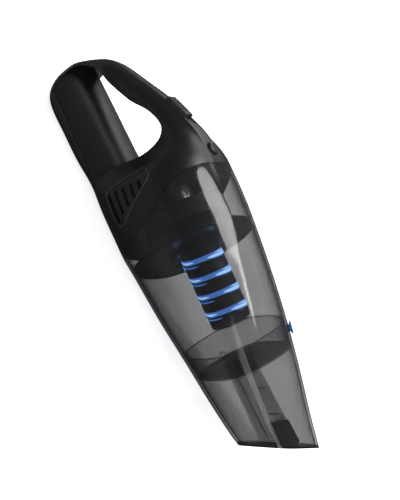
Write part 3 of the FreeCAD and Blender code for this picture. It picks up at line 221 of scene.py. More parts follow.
class PaleFloor(Finish):
    """Pale floor that glows a little where it is seen, and reflects little light up."""

    BOUNCE = 0.3                 # how pale it is to light that the camera doesn't see
    SEEN_GLOW = 0.8

    def extra(self, made: bpy.types.Material) -> None:
        """Mix in a soft glow on what is seen directly."""
        nodes, links = made.node_tree.nodes, made.node_tree.links
        seen = nodes.new("ShaderNodeLightPath")
        glow = nodes.new("ShaderNodeEmission")
        dark = nodes.new("ShaderNodeBsdfDiffuse")
        dark.inputs["Color"].default_value = (self.BOUNCE, self.BOUNCE, self.BOUNCE, 1.0)
        glow.inputs["Strength"].default_value = self.SEEN_GLOW
        bright = nodes.new("ShaderNodeAddShader")
        mix = nodes.new("ShaderNodeMixShader")
        links.new(nodes["Principled BSDF"].outputs[0], bright.inputs[0])
        links.new(glow.outputs[0], bright.inputs[1])
        links.new(seen.outputs["Is Camera Ray"], mix.inputs[0])
        links.new(dark.outputs[0], mix.inputs[1])
        links.new(bright.outputs[0], mix.inputs[2])
        links.new(mix.outputs[0], nodes["Material Output"].inputs["Surface"])


class SmokedPlastic(Finish):
    """Smoked plastic that looks denser and duller where its wall is seen edge-on."""

    EDGE_BLEND = 0.25
    COVER_TURN = (0.3, 0.6)      # turn towards edge-on over which the cover rises
    COVER_EDGE = 0.97
    SHEEN_TURN = (0.55, 0.9)     # turn over which the sheen goes
    SHEEN_EDGE = 0.0

    def extra(self, made: bpy.types.Material) -> None:
        """Raise the cover and take off the sheen towards the edges of the shape."""
        nodes, links = made.node_tree.nodes, made.node_tree.links
        edge = nodes.new("ShaderNodeLayerWeight")
        edge.inputs["Blend"].default_value = self.EDGE_BLEND
        ranges = (
            ("Alpha", self.COVER_TURN, (self.alpha, self.COVER_EDGE)),
            ("Specular IOR Level", self.SHEEN_TURN, (self.specular, self.SHEEN_EDGE)),
        )
        for socket, (near, far), (middle, rim) in ranges:
            spread = nodes.new("ShaderNodeMapRange")
            spread.inputs["From Min"].default_value = near
            spread.inputs["From Max"].default_value = far
            spread.inputs["To Min"].default_value = middle
            spread.inputs["To Max"].default_value = rim
            links.new(edge.outputs["Facing"], spread.inputs["Value"])
            links.new(spread.outputs["Result"], nodes["Principled BSDF"].inputs[socket])


HOUSING = Finish(
    "satin_black_housing", (0.0115, 0.0125, 0.0145), 0.38, 0.05, specular=0.36, grain_depth=0.10)
CARRIER = Finish("gloss_black_carrier", (0.006, 0.0065, 0.008), 0.22, 0.05, grain_depth=0.05)
INNER = Finish("plain_black_plastic", (0.02, 0.02, 0.022), 0.5, 0.08)
CONTROLS = Finish("dark_grey_controls", (0.028, 0.029, 0.031), 0.24, 0.05, grain_depth=0.06)
STEEL = Finish("plated_steel", (0.42, 0.42, 0.43), 0.3, 0.08, metallic=1.0, grain_scale=900.0)
MAGNET = Finish("dark_ferrite", (0.04, 0.04, 0.042), 0.6, 0.1, metallic=0.4)
CELL = Finish("shrink_sleeve_blue", (0.03, 0.16, 0.32), 0.3, 0.05, coat=0.3)
BOARD = Finish("green_solder_mask", (0.01, 0.1, 0.035), 0.35, 0.08, coat=0.2)
FOAM = Finish(
    "open_cell_foam", (0.02, 0.02, 0.02), 0.95, 0.04, grain_scale=1400.0, grain_depth=1.0)
SEAL = Finish("seal_rubber", (0.01, 0.01, 0.01), 0.6, 0.08, grain_depth=0.2)
TUBE = Finish(
    "black_filter_cloth", (0.006, 0.0062, 0.007), 0.5, 0.06, specular=0.3, grain_depth=0.05)
MESH = Finish(
    "woven_grey_mesh", (0.05, 0.051, 0.054), 0.35, 0.06, specular=0.6, grain_depth=0.05)
PAPER = Finish(
    "filter_paper", (0.5, 0.5, 0.46), 0.9, 0.05, grain_scale=1800.0, grain_depth=0.5)
# painted light: the blue bands glow, though they are no lamp, to show bright behind the smoked
# shell
SWIRL = Finish(
    "glowing_swirl", (0.05, 0.15, 0.46), 0.6, 0.05, specular=0.2, grain_depth=0.0,
    tint=0.9, glow=1.5)
# painted highlights: pale glowing strokes on the blue bands stand in for light caught on them
BAND_HIGHLIGHT = Finish(
    "painted_band_highlight", (0.36, 0.6, 0.95), 0.6, 0.05, specular=0.2, grain_depth=0.0, glow=2.2)
SMOKED = SmokedPlastic(
    "smoked_shell_plastic", (0.03, 0.031, 0.034), 0.09, 0.04, alpha=0.42, grain_depth=0.0)
INSERT = SmokedPlastic(
    "smoked_cup_plastic", (0.018, 0.019, 0.022), 0.12, 0.03, alpha=0.19, grain_depth=0.0)
# painted highlight: pale lines on the cup's sharp edges stand in for light caught there
EDGE_HIGHLIGHT = Finish("light_catching_edge", (0.13, 0.132, 0.135), 0.3, 0.05, grain_depth=0.0)
# painted shade: dark lines on the duct's sharp edges and its ribs stand in for shade there
DARK_EDGE = Finish("painted_edge_shade", (0.005, 0.005, 0.006), 0.35, 0.05, grain_depth=0.0)
RIM = Finish("gloss_black_rim", (0.006, 0.006, 0.007), 0.15, 0.04, coat=0.3, grain_depth=0.03)
BRISTLE = Finish("black_nylon", (0.009, 0.009, 0.01), 0.45, 0.06)
FLAP = Finish("soft_blue_black_rubber", (0.012, 0.016, 0.026), 0.5, 0.06, grain_depth=0.15)
PLUG = Finish("blue_rubber", (0.02, 0.13, 0.42), 0.4, 0.05, grain_depth=0.1)
FLOOR = PaleFloor("pale_floor", (0.9, 0.9, 0.9), 0.8, 0.02, grain_depth=0.0)


# ---- Mesh helpers --------------------------------------------------------------------
def new_piece(name: str, mesh: bpy.types.Mesh, finish: Finish) -> bpy.types.Object:
    """Link a mesh as an object at the origin with one finish."""
    piece = bpy.data.objects.new(name, mesh)
    bpy.context.scene.collection.objects.link(piece)
    mesh.materials.clear()
    mesh.materials.append(finish.material())
    return piece


def place(piece: bpy.types.Object, body: Body, slot: str, *nodes: str) -> None:
    """Tie a piece to its body and hide the CAD nodes that it stands for.

    Args:
        piece: the finished piece.
        body: the body that it rides on.
        slot: not used.
        nodes: CAD nodes that the piece replaces.
    """
    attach(piece, body.value)
    if nodes:
        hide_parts(*nodes)
    log.info("%s rides on %s, %d faces", piece.name, body.value, len(piece.data.polygons))


def crease(mesh: bpy.types.Mesh, degrees: float) -> None:
    """Shade smooth, with sharp edges where the surface turns by more than an angle."""
    shape = bmesh.new()
    shape.from_mesh(mesh)
    bmesh.ops.remove_doubles(shape, verts=shape.verts, dist=WELD)
    bmesh.ops.dissolve_degenerate(shape, dist=WELD / 2, edges=shape.edges)
    limit = math.radians(degrees)
    for edge in shape.edges:
        edge.smooth = len(edge.link_faces) == 2 and edge.calc_face_angle(0.0) < limit
    for face in shape.faces:
        face.smooth = True
    shape.to_mesh(mesh)
    shape.free()


def refined(
    node: str, name: str, finish: Finish, body: Body, slot: str,
    degrees: float = 28.0, bevel: float = 0.0,
) -> None:
    """Put a clean, smooth-shaded copy of a CAD node in the node's place.

    Args:
        node: the CAD node.
        name: the new piece's name.
        finish: its surface finish.
        body: the body that it rides on.
        slot: not used; only passed on to place.
        degrees: edges sharper than this stay sharp.
        bevel: width of the rounding on its sharp edges.
    """
    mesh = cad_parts[node].data.copy()
    crease(mesh, degrees)
    piece = new_piece(name, mesh, finish)
    if bevel:
        soften(piece, bevel, degrees)
    place(piece, body, slot, node)


def soften(piece: bpy.types.Object, width: float, degrees: float) -> None:
    """Round a piece's sharp edges with a bevel."""
    edge = piece.modifiers.new("soft_edges", "BEVEL")
    edge.width = width
    edge.segments = 2
    edge.limit_method = "ANGLE"
    edge.angle_limit = math.radians(degrees)
    edge.harden_normals = False


def through(stations: np.ndarray, values: np.ndarray, wanted: np.ndarray) -> np.ndarray:
    """Smooth values between stations, on a cubic through all of them.

    Args:
        stations: rising places.
        values: one row of numbers for each station.
        wanted: places where values are needed.

    Returns:
        One row for each wanted place.
    """
    slopes = np.gradient(values, stations, axis=0)
    i = np.clip(np.searchsorted(stations, wanted) - 1, 0, len(stations) - 2)
    span = stations[i + 1] - stations[i]
    t = ((wanted - stations[i]) / span)[:, None]
    span = span[:, None]
    start = values[i] * (1 + 2 * t) * (1 - t) ** 2 + slopes[i] * span * t * (1 - t) ** 2
    end = values[i + 1] * (3 - 2 * t) * t * t - slopes[i + 1] * span * t * t * (1 - t)
    return start + end


def quad_sheet(name: str, rings: np.ndarray, finish: Finish) -> bpy.types.Object:
    """Join rings of points, each a closed loop, into a sheet of quads facing outwards."""
    rows, count, _ = rings.shape
    faces = []
    for r in range(rows - 1):
        for k in range(count):
            after = (k + 1) % count
            near, far = r * count, (r + 1) * count
            faces.append((near + k, near + after, far + after, far + k))
    mesh = bpy.data.meshes.new(name)
    mesh.from_pydata([tuple(p) for p in rings.reshape(-1, 3)], [], faces)
    crease(mesh, 60.0)
    return new_piece(name, mesh, finish)


# ---- Geometry Nodes helpers ----------------------------------------------------------
class Tree:
    """A small Geometry Nodes tree with named size inputs."""

    def __init__(self, name: str, sizes: dict[str, float | int]) -> None:
        """Make the tree and its inputs."""
        self.tree = bpy.data.node_groups.new(name, "GeometryNodeTree")
        new_socket = self.tree.interface.new_socket
        for way in ("INPUT", "OUTPUT"):
            new_socket(name="Geometry", in_out=way, socket_type="NodeSocketGeometry")
        self.sizes = sizes
        self.keys = {}
        for label, value in sizes.items():
            kind = "NodeSocketInt" if isinstance(value, int) else "NodeSocketFloat"
            socket = new_socket(name=label, in_out="INPUT", socket_type=kind)
            self.keys[label] = socket.identifier
        self.start = self.tree.nodes.new("NodeGroupInput")
        self.end = self.tree.nodes.new("NodeGroupOutput")

    def add(self, kind: str, settings: dict | None = None, **inputs: object) -> bpy.types.Node:
        """Add a node.

        Args:
            kind: the node's type without its GeometryNode prefix, or a full type name.
            settings: properties of the node.
            inputs: socket names, with _ for a space, or _ and a socket's number; each with
                a value, a socket or a size's name.

        Returns:
            The node.
        """
        full = kind if kind.startswith(("ShaderNode", "FunctionNode")) else "GeometryNode" + kind
        node = self.tree.nodes.new(full)
        for key, value in (settings or {}).items():
            setattr(node, key, value)
        for key, value in inputs.items():
            by_number = key[1:].isdigit()
            socket = node.inputs[int(key[1:]) if by_number else key.replace("_", " ")]
            if isinstance(value, bpy.types.NodeSocket):
                self.tree.links.new(value, socket)
            elif isinstance(value, str) and value in self.keys:
                self.tree.links.new(self.start.outputs[value], socket)
            else:
                socket.default_value = value
        return node

    def row_of_boxes(
        self, count: str, step: bpy.types.NodeSocket, size: bpy.types.NodeSocket,
    ) -> bpy.types.NodeSocket:
        """Boxes at equal steps along a line.

        Args:
            count: name of the size that says how many.
            step: vector from one box to the next.
            size: vector of a box's three sides.

        Returns:
            The socket with the boxes.
        """
        line = self.add("MeshLine", Count=count, Offset=step)
        box = self.add("MeshCube", Size=size)
        points, shape = line.outputs[0], box.outputs["Mesh"]
        return self.add("InstanceOnPoints", Points=points, Instance=shape).outputs[0]

    def grow(
        self, name: str, shape: bpy.types.NodeSocket, finish: Finish, degrees: float = 35.0,
        source: bpy.types.Mesh | None = None,
    ) -> bpy.types.Object:
        """Finish the tree, run it and keep the result as a plain piece.

        Args:
            name: the piece's name.
            shape: the geometry to keep.
            finish: its surface finish.
            degrees: edges sharper than this stay sharp.
            source: mesh that goes into the tree, or None for an empty one.

        Returns:
            The piece.
        """
        real = self.add("RealizeInstances", Geometry=shape)
        dressed = self.add("SetMaterial", Geometry=real.outputs[0], Material=finish.material())
        self.tree.links.new(dressed.outputs[0], self.end.inputs[0])
        source = source or bpy.data.meshes.new(name + "_host")
        host = bpy.data.objects.new(name + "_host", source)
        bpy.context.scene.collection.objects.link(host)
        modifier = host.modifiers.new("grow", "NODES")
        modifier.node_group = self.tree
        for label, value in self.sizes.items():
            modifier[self.keys[label]] = value
        bpy.context.view_layer.update()
        grown = host.evaluated_get(bpy.context.evaluated_depsgraph_get())
        mesh = bpy.data.meshes.new_from_object(grown)
        host.modifiers.remove(modifier)
        bpy.data.objects.remove(host)
        crease(mesh, degrees)
        mesh.name = name
        return new_piece(name, mesh, finish)


def edge_lines(
    node: str, name: str, finish: Finish, radius: float, degrees: float = 40.0,
) -> bpy.types.Object:
    """Lay thin round lines along the sharp edges of a CAD node.

    Args:
        node: the CAD node.
        name: the new piece's name.
        finish: its surface finish.
        radius: radius of the lines.
        degrees: edges that turn by more than this get a line.

    Returns:
        The new piece.
    """
    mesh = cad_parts[node].data.copy()
    crease(mesh, degrees)
    tree = Tree(name, {"Sharp angle": math.radians(degrees), "Line radius": radius})
    turn = tree.add("InputMeshEdgeAngle")
    sharp = tree.add(
        "FunctionNodeCompare", {"data_type": "FLOAT", "operation": "GREATER_THAN"},
        _0=turn.outputs[0], _1="Sharp angle")
    lines = tree.add("MeshToCurve", Mesh=tree.start.outputs[0], Selection=sharp.outputs[0])
    profile = tree.add("CurvePrimitiveCircle", Resolution=6, Radius="Line radius")
    tube = tree.add("CurveToMesh", Curve=lines.outputs[0], Profile_Curve=profile.outputs[0])
    return tree.grow(name, tube.outputs[0], finish, 80.0, mesh)


# ---- Beads laid on a surface ---------------------------------------------------------
def bead(
    name: str, path: np.ndarray, outward: np.ndarray, radius: float, finish: Finish, closed: bool,
    flatness: float = 0.6, end: float = 0.1,
) -> bpy.types.Object:
    """Lay a flat rounded bead along points of a surface, half sunk in it.

    Args:
        name: the piece's name.
        path: points on the surface.
        outward: the surface's direction at each point.
        radius: half of the bead's width.
        finish: its surface finish.
        closed: True where the path ends at its start.
        flatness: its height against its half-width.
        end: half-width at an open end, against the rest.

    Returns:
        The piece.
    """
    ahead = np.roll(path, -1, axis=0) - np.roll(path, 1, axis=0)
    width = np.full(len(path), radius)
    if not closed:
        ahead[0], ahead[-1] = path[1] - path[0], path[-1] - path[-2]
        width[[0, -1]] = radius * end
    ahead /= np.linalg.norm(ahead, axis=1, keepdims=True)
    across = np.cross(ahead, outward)
    across /= np.linalg.norm(across, axis=1, keepdims=True)
    turn = np.linspace(0.0, 2 * math.pi, 10, endpoint=False)
    sideways = np.cos(turn)[None, :, None] * across[:, None]
    upwards = flatness * np.sin(turn)[None, :, None] * outward[:, None]
    rings = path[:, None] + width[:, None, None] * (sideways + upwards)
    if closed:
        rings = np.concatenate((rings, rings[:1]))
    return quad_sheet(name, rings, finish)


def rounded(corners: Sequence[tuple[float, float]], radius: float, step: float = 1.5) -> np.ndarray:
    """Closed outline through rounded corners, with evenly spaced points."""
    points = np.array(corners)
    share = np.linspace(0.0, 1.0, 9)[:, None]
    curves = []
    around = zip(np.roll(points, 1, axis=0), points, np.roll(points, -1, axis=0))
    for before, corner, after in around:
        start = corner + radius * (before - corner) / np.linalg.norm(before - corner)
        end = corner + radius * (after - corner) / np.linalg.norm(after - corner)
        middle = 2 * corner * share * (1 - share)
        curves.append(start * (1 - share) ** 2 + middle + end * share ** 2)
    dense = np.concatenate(curves + [curves[0][:1]])
    run = np.concatenate(([0.0], np.cumsum(np.linalg.norm(np.diff(dense, axis=0), axis=1))))
    even = np.arange(0.0, run[-1] - step / 2, step)
    return np.stack([np.interp(even, run, dense[:, axis]) for axis in (0, 1)], axis=1)


def laid_on(node: str, outline: np.ndarray, side: int) -> tuple[np.ndarray, np.ndarray]:
    """Move an outline along Y onto a node's outer surface.

    Args:
        node: the CAD node.
        outline: x from the rear end and z, in mm.
        side: -1 for the side towards -Y, 1 for the other.

    Returns:
        The points on the surface and its directions there.
    """
    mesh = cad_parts[node].data
    corners = [corner.co for corner in mesh.vertices]
    surface = BVHTree.FromPolygons(corners, [face.vertices for face in mesh.polygons])
    points, outward = [], []
    for x, z in outline:
        start = Vector((x * MM + REAR_X, side * WIDTH, z * MM))
        spot, normal, _, _ = surface.ray_cast(start, Vector((0, -side, 0)))
        if spot:
            points.append(spot)
            outward.append(normal)
    return np.array(points), np.array(outward)


# ---- Studio --------------------------------------------------------------------------
@dataclass(frozen=True)
class Lamp:
    """A soft light that faces the object, or faces straight down where it is level."""

    name: str
    spot: tuple[float, float, float]
    size: tuple[float, float]
    power: float                 # in watts
    shape: str = "RECTANGLE"
    level: bool = False

    def hang(self) -> None:
        """Make the light."""
        data = bpy.data.lights.new(self.name, "AREA")
        data.shape = self.shape
        data.size, data.size_y = self.size
        data.energy = self.power
        lamp = bpy.data.objects.new(self.name, data)
        aim = Matrix.Identity(4)
        if not self.level:
            towards = Vector(LIT_POINT) - Vector(self.spot)
            aim = towards.to_track_quat("-Z", "Y").to_matrix().to_4x4()
        lamp.matrix_world = Matrix.Translation(self.spot) @ aim
        bpy.context.scene.collection.objects.link(lamp)


@dataclass
class Studio:
    """Camera, pale floor and soft lights."""

    lens: float = 300.0
    field: float = 0.4669        # height of the view at the object
    towards: tuple[float, float, float] = (0.265, -0.86, 0.436)
    up: tuple[float, float, float] = (-0.876, -0.0255, 0.481)
    look_z: float = 0.0658
    look_x: float = 0.2152       # from the rear end
    sensor: float = 36.0
    floor_size: float = 12.0
    world_light: float = 0.09    # white that lights the object
    world_seen: float = 1.1      # white that the camera sees
    # two ovals overhead draw the tapered highlight on the bin
    lamps: tuple[Lamp, ...] = (
        Lamp("overhead_oval", (-0.22, 0.25, 1.05), (0.34, 0.82), 9.0, "ELLIPSE", True),
        Lamp("overhead_tail", (-0.02, 0.37, 1.05), (0.26, 0.16), 1.4, "ELLIPSE", True),
        Lamp("front_key", (0.5, -1.3, 1.0), (0.9, 0.9), 8.0),
        Lamp("rear_fill", (-0.9, 1.0, 0.9), (0.8, 0.8), 5.0),
        Lamp("nose_fill", (1.4, 0.2, 0.5), (0.6, 0.6), 2.5),
    )

    def camera(self) -> None:
        """Set a long-lens camera at the viewing angle."""
        back = Vector(self.towards).normalized()
        side = Vector(self.up).cross(back).normalized()
        up = back.cross(side)
        data = bpy.data.cameras.new("camera")
        data.lens = self.lens
        data.sensor_width = self.sensor
        data.clip_end = 50.0
        camera = bpy.data.objects.new("camera", data)
        distance = self.field * self.lens / data.sensor_width
        turn = Matrix((side, up, back)).transposed().to_4x4()
        middle = Vector((REAR_X + self.look_x, 0.0, self.look_z))
        camera.matrix_world = Matrix.Translation(middle + back * distance) @ turn
        bpy.context.scene.collection.objects.link(camera)
        bpy.context.scene.camera = camera

    def floor(self) -> None:
        """Lay a large plain pale floor."""
        mesh = bpy.data.meshes.new("floor")
        half = self.floor_size / 2
        corners = [(-half, -half, 0), (half, -half, 0), (half, half, 0), (-half, half, 0)]
        mesh.from_pydata(corners, [], [(0, 1, 2, 3)])
        new_piece("floor", mesh, FLOOR)

    def world(self) -> None:
        """White behind the object, and a dimmer glow that lights it."""
        world = bpy.data.worlds.new("world")
        bpy.context.scene.world = world
        world.use_nodes = True
        nodes, links = world.node_tree.nodes, world.node_tree.links
        seen = nodes.new("ShaderNodeLightPath")
        strength = nodes.new("ShaderNodeMapRange")
        strength.inputs["To Min"].default_value = self.world_light
        strength.inputs["To Max"].default_value = self.world_seen
        links.new(seen.outputs["Is Camera Ray"], strength.inputs["Value"])
        links.new(strength.outputs["Result"], nodes["Background"].inputs["Strength"])
        nodes["Background"].inputs["Color"].default_value = (1.0, 1.0, 1.0, 1.0)
        scene = bpy.context.scene
        scene.view_settings.view_transform = "Standard"
        scene.view_settings.look = "None"

    def build(self) -> None:
        """Make the whole studio."""
        self.camera()
        self.floor()
        self.world()
        for lamp in self.lamps:
            lamp.hang()


# ---- Outer skin ----------------------------------------------------------------------
@dataclass
class Skin:
    """The smooth outer skin ahead of the hand opening, as cross-sections along X."""

    fine: int = 40               # points on each stretch of a section before it is evened out
    side: int = 48               # points on one side of a section

    # x from the rear end in mm; lowest and highest z, half-width, rounding and squareness
    rows: tuple[tuple[float, ...], ...] = (
        (136.7, -0.010, 0.999, 0.860, 0.44, 2.50), (153.5, -0.010, 1.003, 0.965, 0.47, 2.50),
        (172.1, -0.010, 1.004, 0.995, 0.48, 2.45), (192.5, -0.010, 1.000, 1.000, 0.48, 2.40),
        (213.0, 0.007, 0.988, 0.993, 0.48, 2.35), (240.0, 0.033, 0.961, 0.986, 0.48, 2.40),
        (270.0, 0.068, 0.923, 0.975, 0.48, 2.50), (300.0, 0.109, 0.880, 0.950, 0.48, 2.60),
        (330.0, 0.150, 0.829, 0.902, 0.48, 2.80), (360.0, 0.191, 0.772, 0.837, 0.47, 3.10),
        (390.0, 0.233, 0.714, 0.755, 0.46, 3.50), (432.0, 0.293, 0.656, 0.615, 0.45, 4.00),
    )

    def rings(self, step: float = 2.0) -> tuple[np.ndarray, np.ndarray]:
        """Cross-sections at equal steps along X.

        Args:
            step: distance between sections in mm.

        Returns:
            The places along X in metres, and the rings of points (x, y, z).
        """
        table = np.array(self.rows)
        places = np.arange(table[0, 0], table[-1, 0] + step / 2, step)
        rows = through(table[:, 0], table[:, 1:], np.minimum(places, table[-1, 0]))
        rings = [self.ring(x * MM + REAR_X, row) for x, row in zip(places, rows)]
        return places * MM + REAR_X, np.array(rings)

    def ring(self, x: float, row: np.ndarray) -> np.ndarray:
        """One closed cross-section with evenly spaced points."""
        z_low, z_top, half, rounding, power = row
        z_low = z_low * HEIGHT
        z_top = z_top * HEIGHT
        half = half * WIDTH / 2
        high = z_top - z_low
        turn = np.linspace(0.0, math.pi / 2, self.fine)
        curve_in = np.sin(turn) ** (2 / power)
        curve_up = 1 - np.cos(turn) ** (2 / power)
        rise = rounding * high * curve_up
        z = np.concatenate((z_low + rise, z_top - rise[::-1]))
        y = half * np.concatenate((curve_in, curve_in[::-1]))
        run = np.concatenate(([0.0], np.cumsum(np.hypot(np.diff(y), np.diff(z)))))
        even = np.linspace(0.0, run[-1], self.side)
        y, z = np.interp(even, run, y), np.interp(even, run, z)
        z = np.maximum(z, 0.0)
        y = np.concatenate((-y, y[-2:0:-1]))
        z = np.concatenate((z, z[-2:0:-1]))
        return np.stack((np.full_like(y, x), y, z), axis=1)


# ---- Dust bin ------------------------------------------------------------------------
@dataclass
class DustBin:
    """Smoked shell, partition, duct, mouth plate, brush, flap and drain plug."""

    wall: float = 0.0022
    stations: int = 96
    lip_x: float = 0.401         # lower lip of the mouth, from the rear end
    lip_z: float = 0.0303
    mouth_tilt: float = math.radians(31.3)
    plate: float = 0.0024
    gap: float = 0.0004
    bristle_rows: int = 5
    bristle_columns: int = 34
    bristle_tip: float = 0.00012
    bristle_root: float = 0.00026
    bristle_lean: float = 0.06   # most that a bristle leans either way, in radians
    bristle_shift: float = 0.0012   # rows' middle behind the middle of the CAD brush
    bristle_depth: float = 0.45  # depth of the rows against the CAD brush
    rib_from: float = 0.031      # first rib, ahead of the duct's rear end
    rib_z: float = 0.0662
    rib_width: float = 0.8       # against the duct
    grille_plate: tuple[float, float, float] = (0.0235, 0.0205, 0.0008)
    grille_plate_at: tuple[float, float, float] = (0.0, 0.009, -0.0009)   # from the first bar
    grille_at: tuple[float, float, float] = (0.4075, -0.0075, 0.0697)     # from the rear end
    grille_tilt: float = -0.055
    cup_edge: float = 0.00022
    duct_edge: float = 0.00035
    keel_from: float = 0.298     # rear end of the thin black lines under the nozzle
    keel_radius: float = 0.0007
    keel_tilt: float = math.radians(27.0)
    # parting line with the housing: x from the rear end in mm, and z in mm
    parting: tuple[tuple[float, float], ...] = (
        (194.4, -36.6), (189.8, 3.7), (187.1, 30.5), (180.0, 56.1), (167.0, 79.3), (159.1, 95.2),
        (154.9, 108.6), (153.5, 117.1), (152.1, 146.4),
    )

    def mouth(self) -> tuple[np.ndarray, np.ndarray]:
        """A point on the mouth plane and its outward direction."""
        point = np.array((REAR_X + self.lip_x, 0.0, self.lip_z))
        return point, np.array((math.cos(self.mouth_tilt), 0.0, -math.sin(self.mouth_tilt)))

    def shell(self) -> bpy.types.Object:
        """Smoked shell between the parting line and the mouth plate."""
        places, rings = Skin().rings()
        line = np.array(self.parting) * MM
        rear_x = through(line[:, 1], line[:, :1], rings[:, :, 2].ravel())[:, 0]
        rear_x = rear_x.reshape(rings.shape[:2])
        behind = places[:, None] - (rear_x + REAR_X + self.gap)
        point, ahead = self.mouth()
        before = (rings - point) @ ahead + self.plate
        columns = []
        for k in range(rings.shape[1]):
            first = np.interp(0.0, behind[:, k], places)
            last = np.interp(0.0, before[:, k], places)
            x = np.linspace(first, last, self.stations)
            course = [np.interp(x, places, rings[:, k, axis]) for axis in range(3)]
            columns.append(np.stack(course, axis=1))
        sheet = quad_sheet("bin_shell", np.stack(columns, axis=1), SMOKED)
        shape = bmesh.new()
        shape.from_mesh(sheet.data)
        bmesh.ops.recalc_face_normals(shape, faces=shape.faces)
        shape.to_mesh(sheet.data)
        shape.free()
        wall = sheet.modifiers.new("wall", "SOLIDIFY")
        wall.thickness = self.wall
        wall.offset = -1.0
        wall.use_even_offset = True
        return sheet

    def bristles(self) -> bpy.types.Object:
        """Rows of tapered bristles under the mouth's strip."""
        low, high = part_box("brush_bristles")
        tree = Tree("bristle_rows", {
            "Width": float(high[1] - low[1] - 0.001),
            "Depth": float((high[0] - low[0]) * self.bristle_depth),
            "Rows": self.bristle_rows, "Columns": self.bristle_columns,
            "Length": float(high[2] - low[2]),
            "Tip": self.bristle_tip, "Root": self.bristle_root,
        })
        grid = tree.add(
            "MeshGrid", Size_X="Depth", Size_Y="Width", Vertices_X="Rows", Vertices_Y="Columns")
        hair = tree.add(
            "MeshCone", Vertices=6, Radius_Top="Tip", Radius_Bottom="Root", Depth="Length")
        lean = tree.add("FunctionNodeRandomValue", {"data_type": "FLOAT_VECTOR"}, Seed=4)
        most = self.bristle_lean
        lean.inputs[0].default_value = (math.pi - most, -most, 0.0)
        lean.inputs[1].default_value = (math.pi + most, most, 6.0)
        points, shape = grid.outputs[0], hair.outputs[0]
        rows = tree.add(
            "InstanceOnPoints", Points=points, Instance=shape, Rotation=lean.outputs[0])
        middle = ((low[0] + high[0]) / 2 - self.bristle_shift, 0.0, float(high[2]))
        moved = tree.add("Transform", Geometry=rows.outputs[0], Translation=middle)
        return tree.grow("mouth_bristles", moved.outputs[0], BRISTLE)

    def duct_ribs(self) -> bpy.types.Object:
        """Thin ribs across the top of the duct, dark with painted shade."""
        low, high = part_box("suction_duct")
        tree = Tree("duct_ribs", {
            "Count": 2, "Pitch": 0.027, "Rib width": 0.0007, "Rib height": 0.0008,
        })
        length = float(high[1] - low[1]) * self.rib_width
        step = tree.add("ShaderNodeCombineXYZ", X="Pitch")
        size = tree.add("ShaderNodeCombineXYZ", X="Rib width", Y=length, Z="Rib height")
        ribs = tree.row_of_boxes("Count", step.outputs[0], size.outputs[0])
        first = (float(low[0]) + self.rib_from, 0.0, self.rib_z)
        moved = tree.add("Transform", Geometry=ribs, Translation=first)
        return tree.grow("duct_stiffeners", moved.outputs[0], DARK_EDGE)

    def mouth_grille(self) -> bpy.types.Object:
        """Black grooved plate on the duct's roof, behind the mouth."""
        tree = Tree("mouth_grille", {
            "Bars": 6, "Pitch": 0.0036, "Bar length": 0.0235, "Bar width": 0.0022,
            "Bar height": 0.0016,
        })
        step = tree.add("ShaderNodeCombineXYZ", Y="Pitch")
        size = tree.add("ShaderNodeCombineXYZ", X="Bar length", Y="Bar width", Z="Bar height")
        bars = tree.row_of_boxes("Bars", step.outputs[0], size.outputs[0])
        plate = tree.add("MeshCube", Size=self.grille_plate).outputs["Mesh"]
        sunk = tree.add("Transform", Geometry=plate, Translation=self.grille_plate_at)
        both = tree.add("JoinGeometry")
        for shape in (bars, sunk.outputs[0]):
            tree.tree.links.new(shape, both.inputs[0])
        x, y, z = self.grille_at
        moved = tree.add(
            "Transform", Geometry=both.outputs[0], Rotation=(0.0, self.grille_tilt, 0.0),
            Translation=(REAR_X + x, y, z))
        return tree.grow("mouth_grille", moved.outputs[0], RIM)

    def keel_line(self, side: int) -> bpy.types.Object:
        """Thin black line along the underside of the nozzle, on one side."""
        places, rings = Skin().rings()
        outward = np.array((0.0, side * math.sin(self.keel_tilt), -math.cos(self.keel_tilt)))
        middle = rings[len(rings) * 3 // 4]
        path = rings[:, int(np.argmax(middle @ outward))]
        point, ahead = self.mouth()
        ahead_of_start = places > REAR_X + self.keel_from
        path = path[ahead_of_start & ((path - point) @ ahead < -self.plate)]
        name = "keel_line_" + ("right" if side < 0 else "left")
        return bead(name, path, np.tile(outward, (len(path), 1)), self.keel_radius, RIM, False)

    def build(self) -> None:
        """Make every piece of the dust bin."""
        place(self.shell(), Body.BIN, "smoked_bin", "dust_bin")
        insert = {
            "bin_partition": "cyclone_cup", "suction_duct": "inlet_duct", "bin_catch": "latch_rib",
        }
        for node, name in insert.items():
            refined(node, name, INSERT, Body.BIN, "smoked_insert")
        edges = (
            # pale lines on the cup's edges are painted highlight
            edge_lines("bin_partition", "cup_edge_highlights", EDGE_HIGHLIGHT, self.cup_edge),
            # dark lines on the duct's edges are painted shade
            edge_lines("suction_duct", "duct_edges", DARK_EDGE, self.duct_edge),
        )
        for lines in edges:
            place(lines, Body.BIN, "smoked_insert")
        place(self.mouth_grille(), Body.BIN, "rim_black")
        for side in (-1, 1):
            place(self.keel_line(side), Body.BIN, "rim_black")
        refined("nozzle_rim", "mouth_plate", RIM, Body.BIN, "rim_black", bevel=0.0004)
        refined("brush_holder", "brush_strip", RIM, Body.BIN, "rim_black", bevel=0.0003)
        place(self.bristles(), Body.BIN, "bristle", "brush_bristles")
        place(self.duct_ribs(), Body.BIN, "smoked_insert")
        refined("flap_valve", "rubber_flap", FLAP, Body.FLAP, "flap_rubber", bevel=0.0004)
        refined("flap_pin", "flap_hinge_pin", STEEL, Body.FLAP, "screw_steel", bevel=0.0002)
        refined("drain_plug", "drain_bung", PLUG, Body.PLUG, "plug_blue", bevel=0.0004)


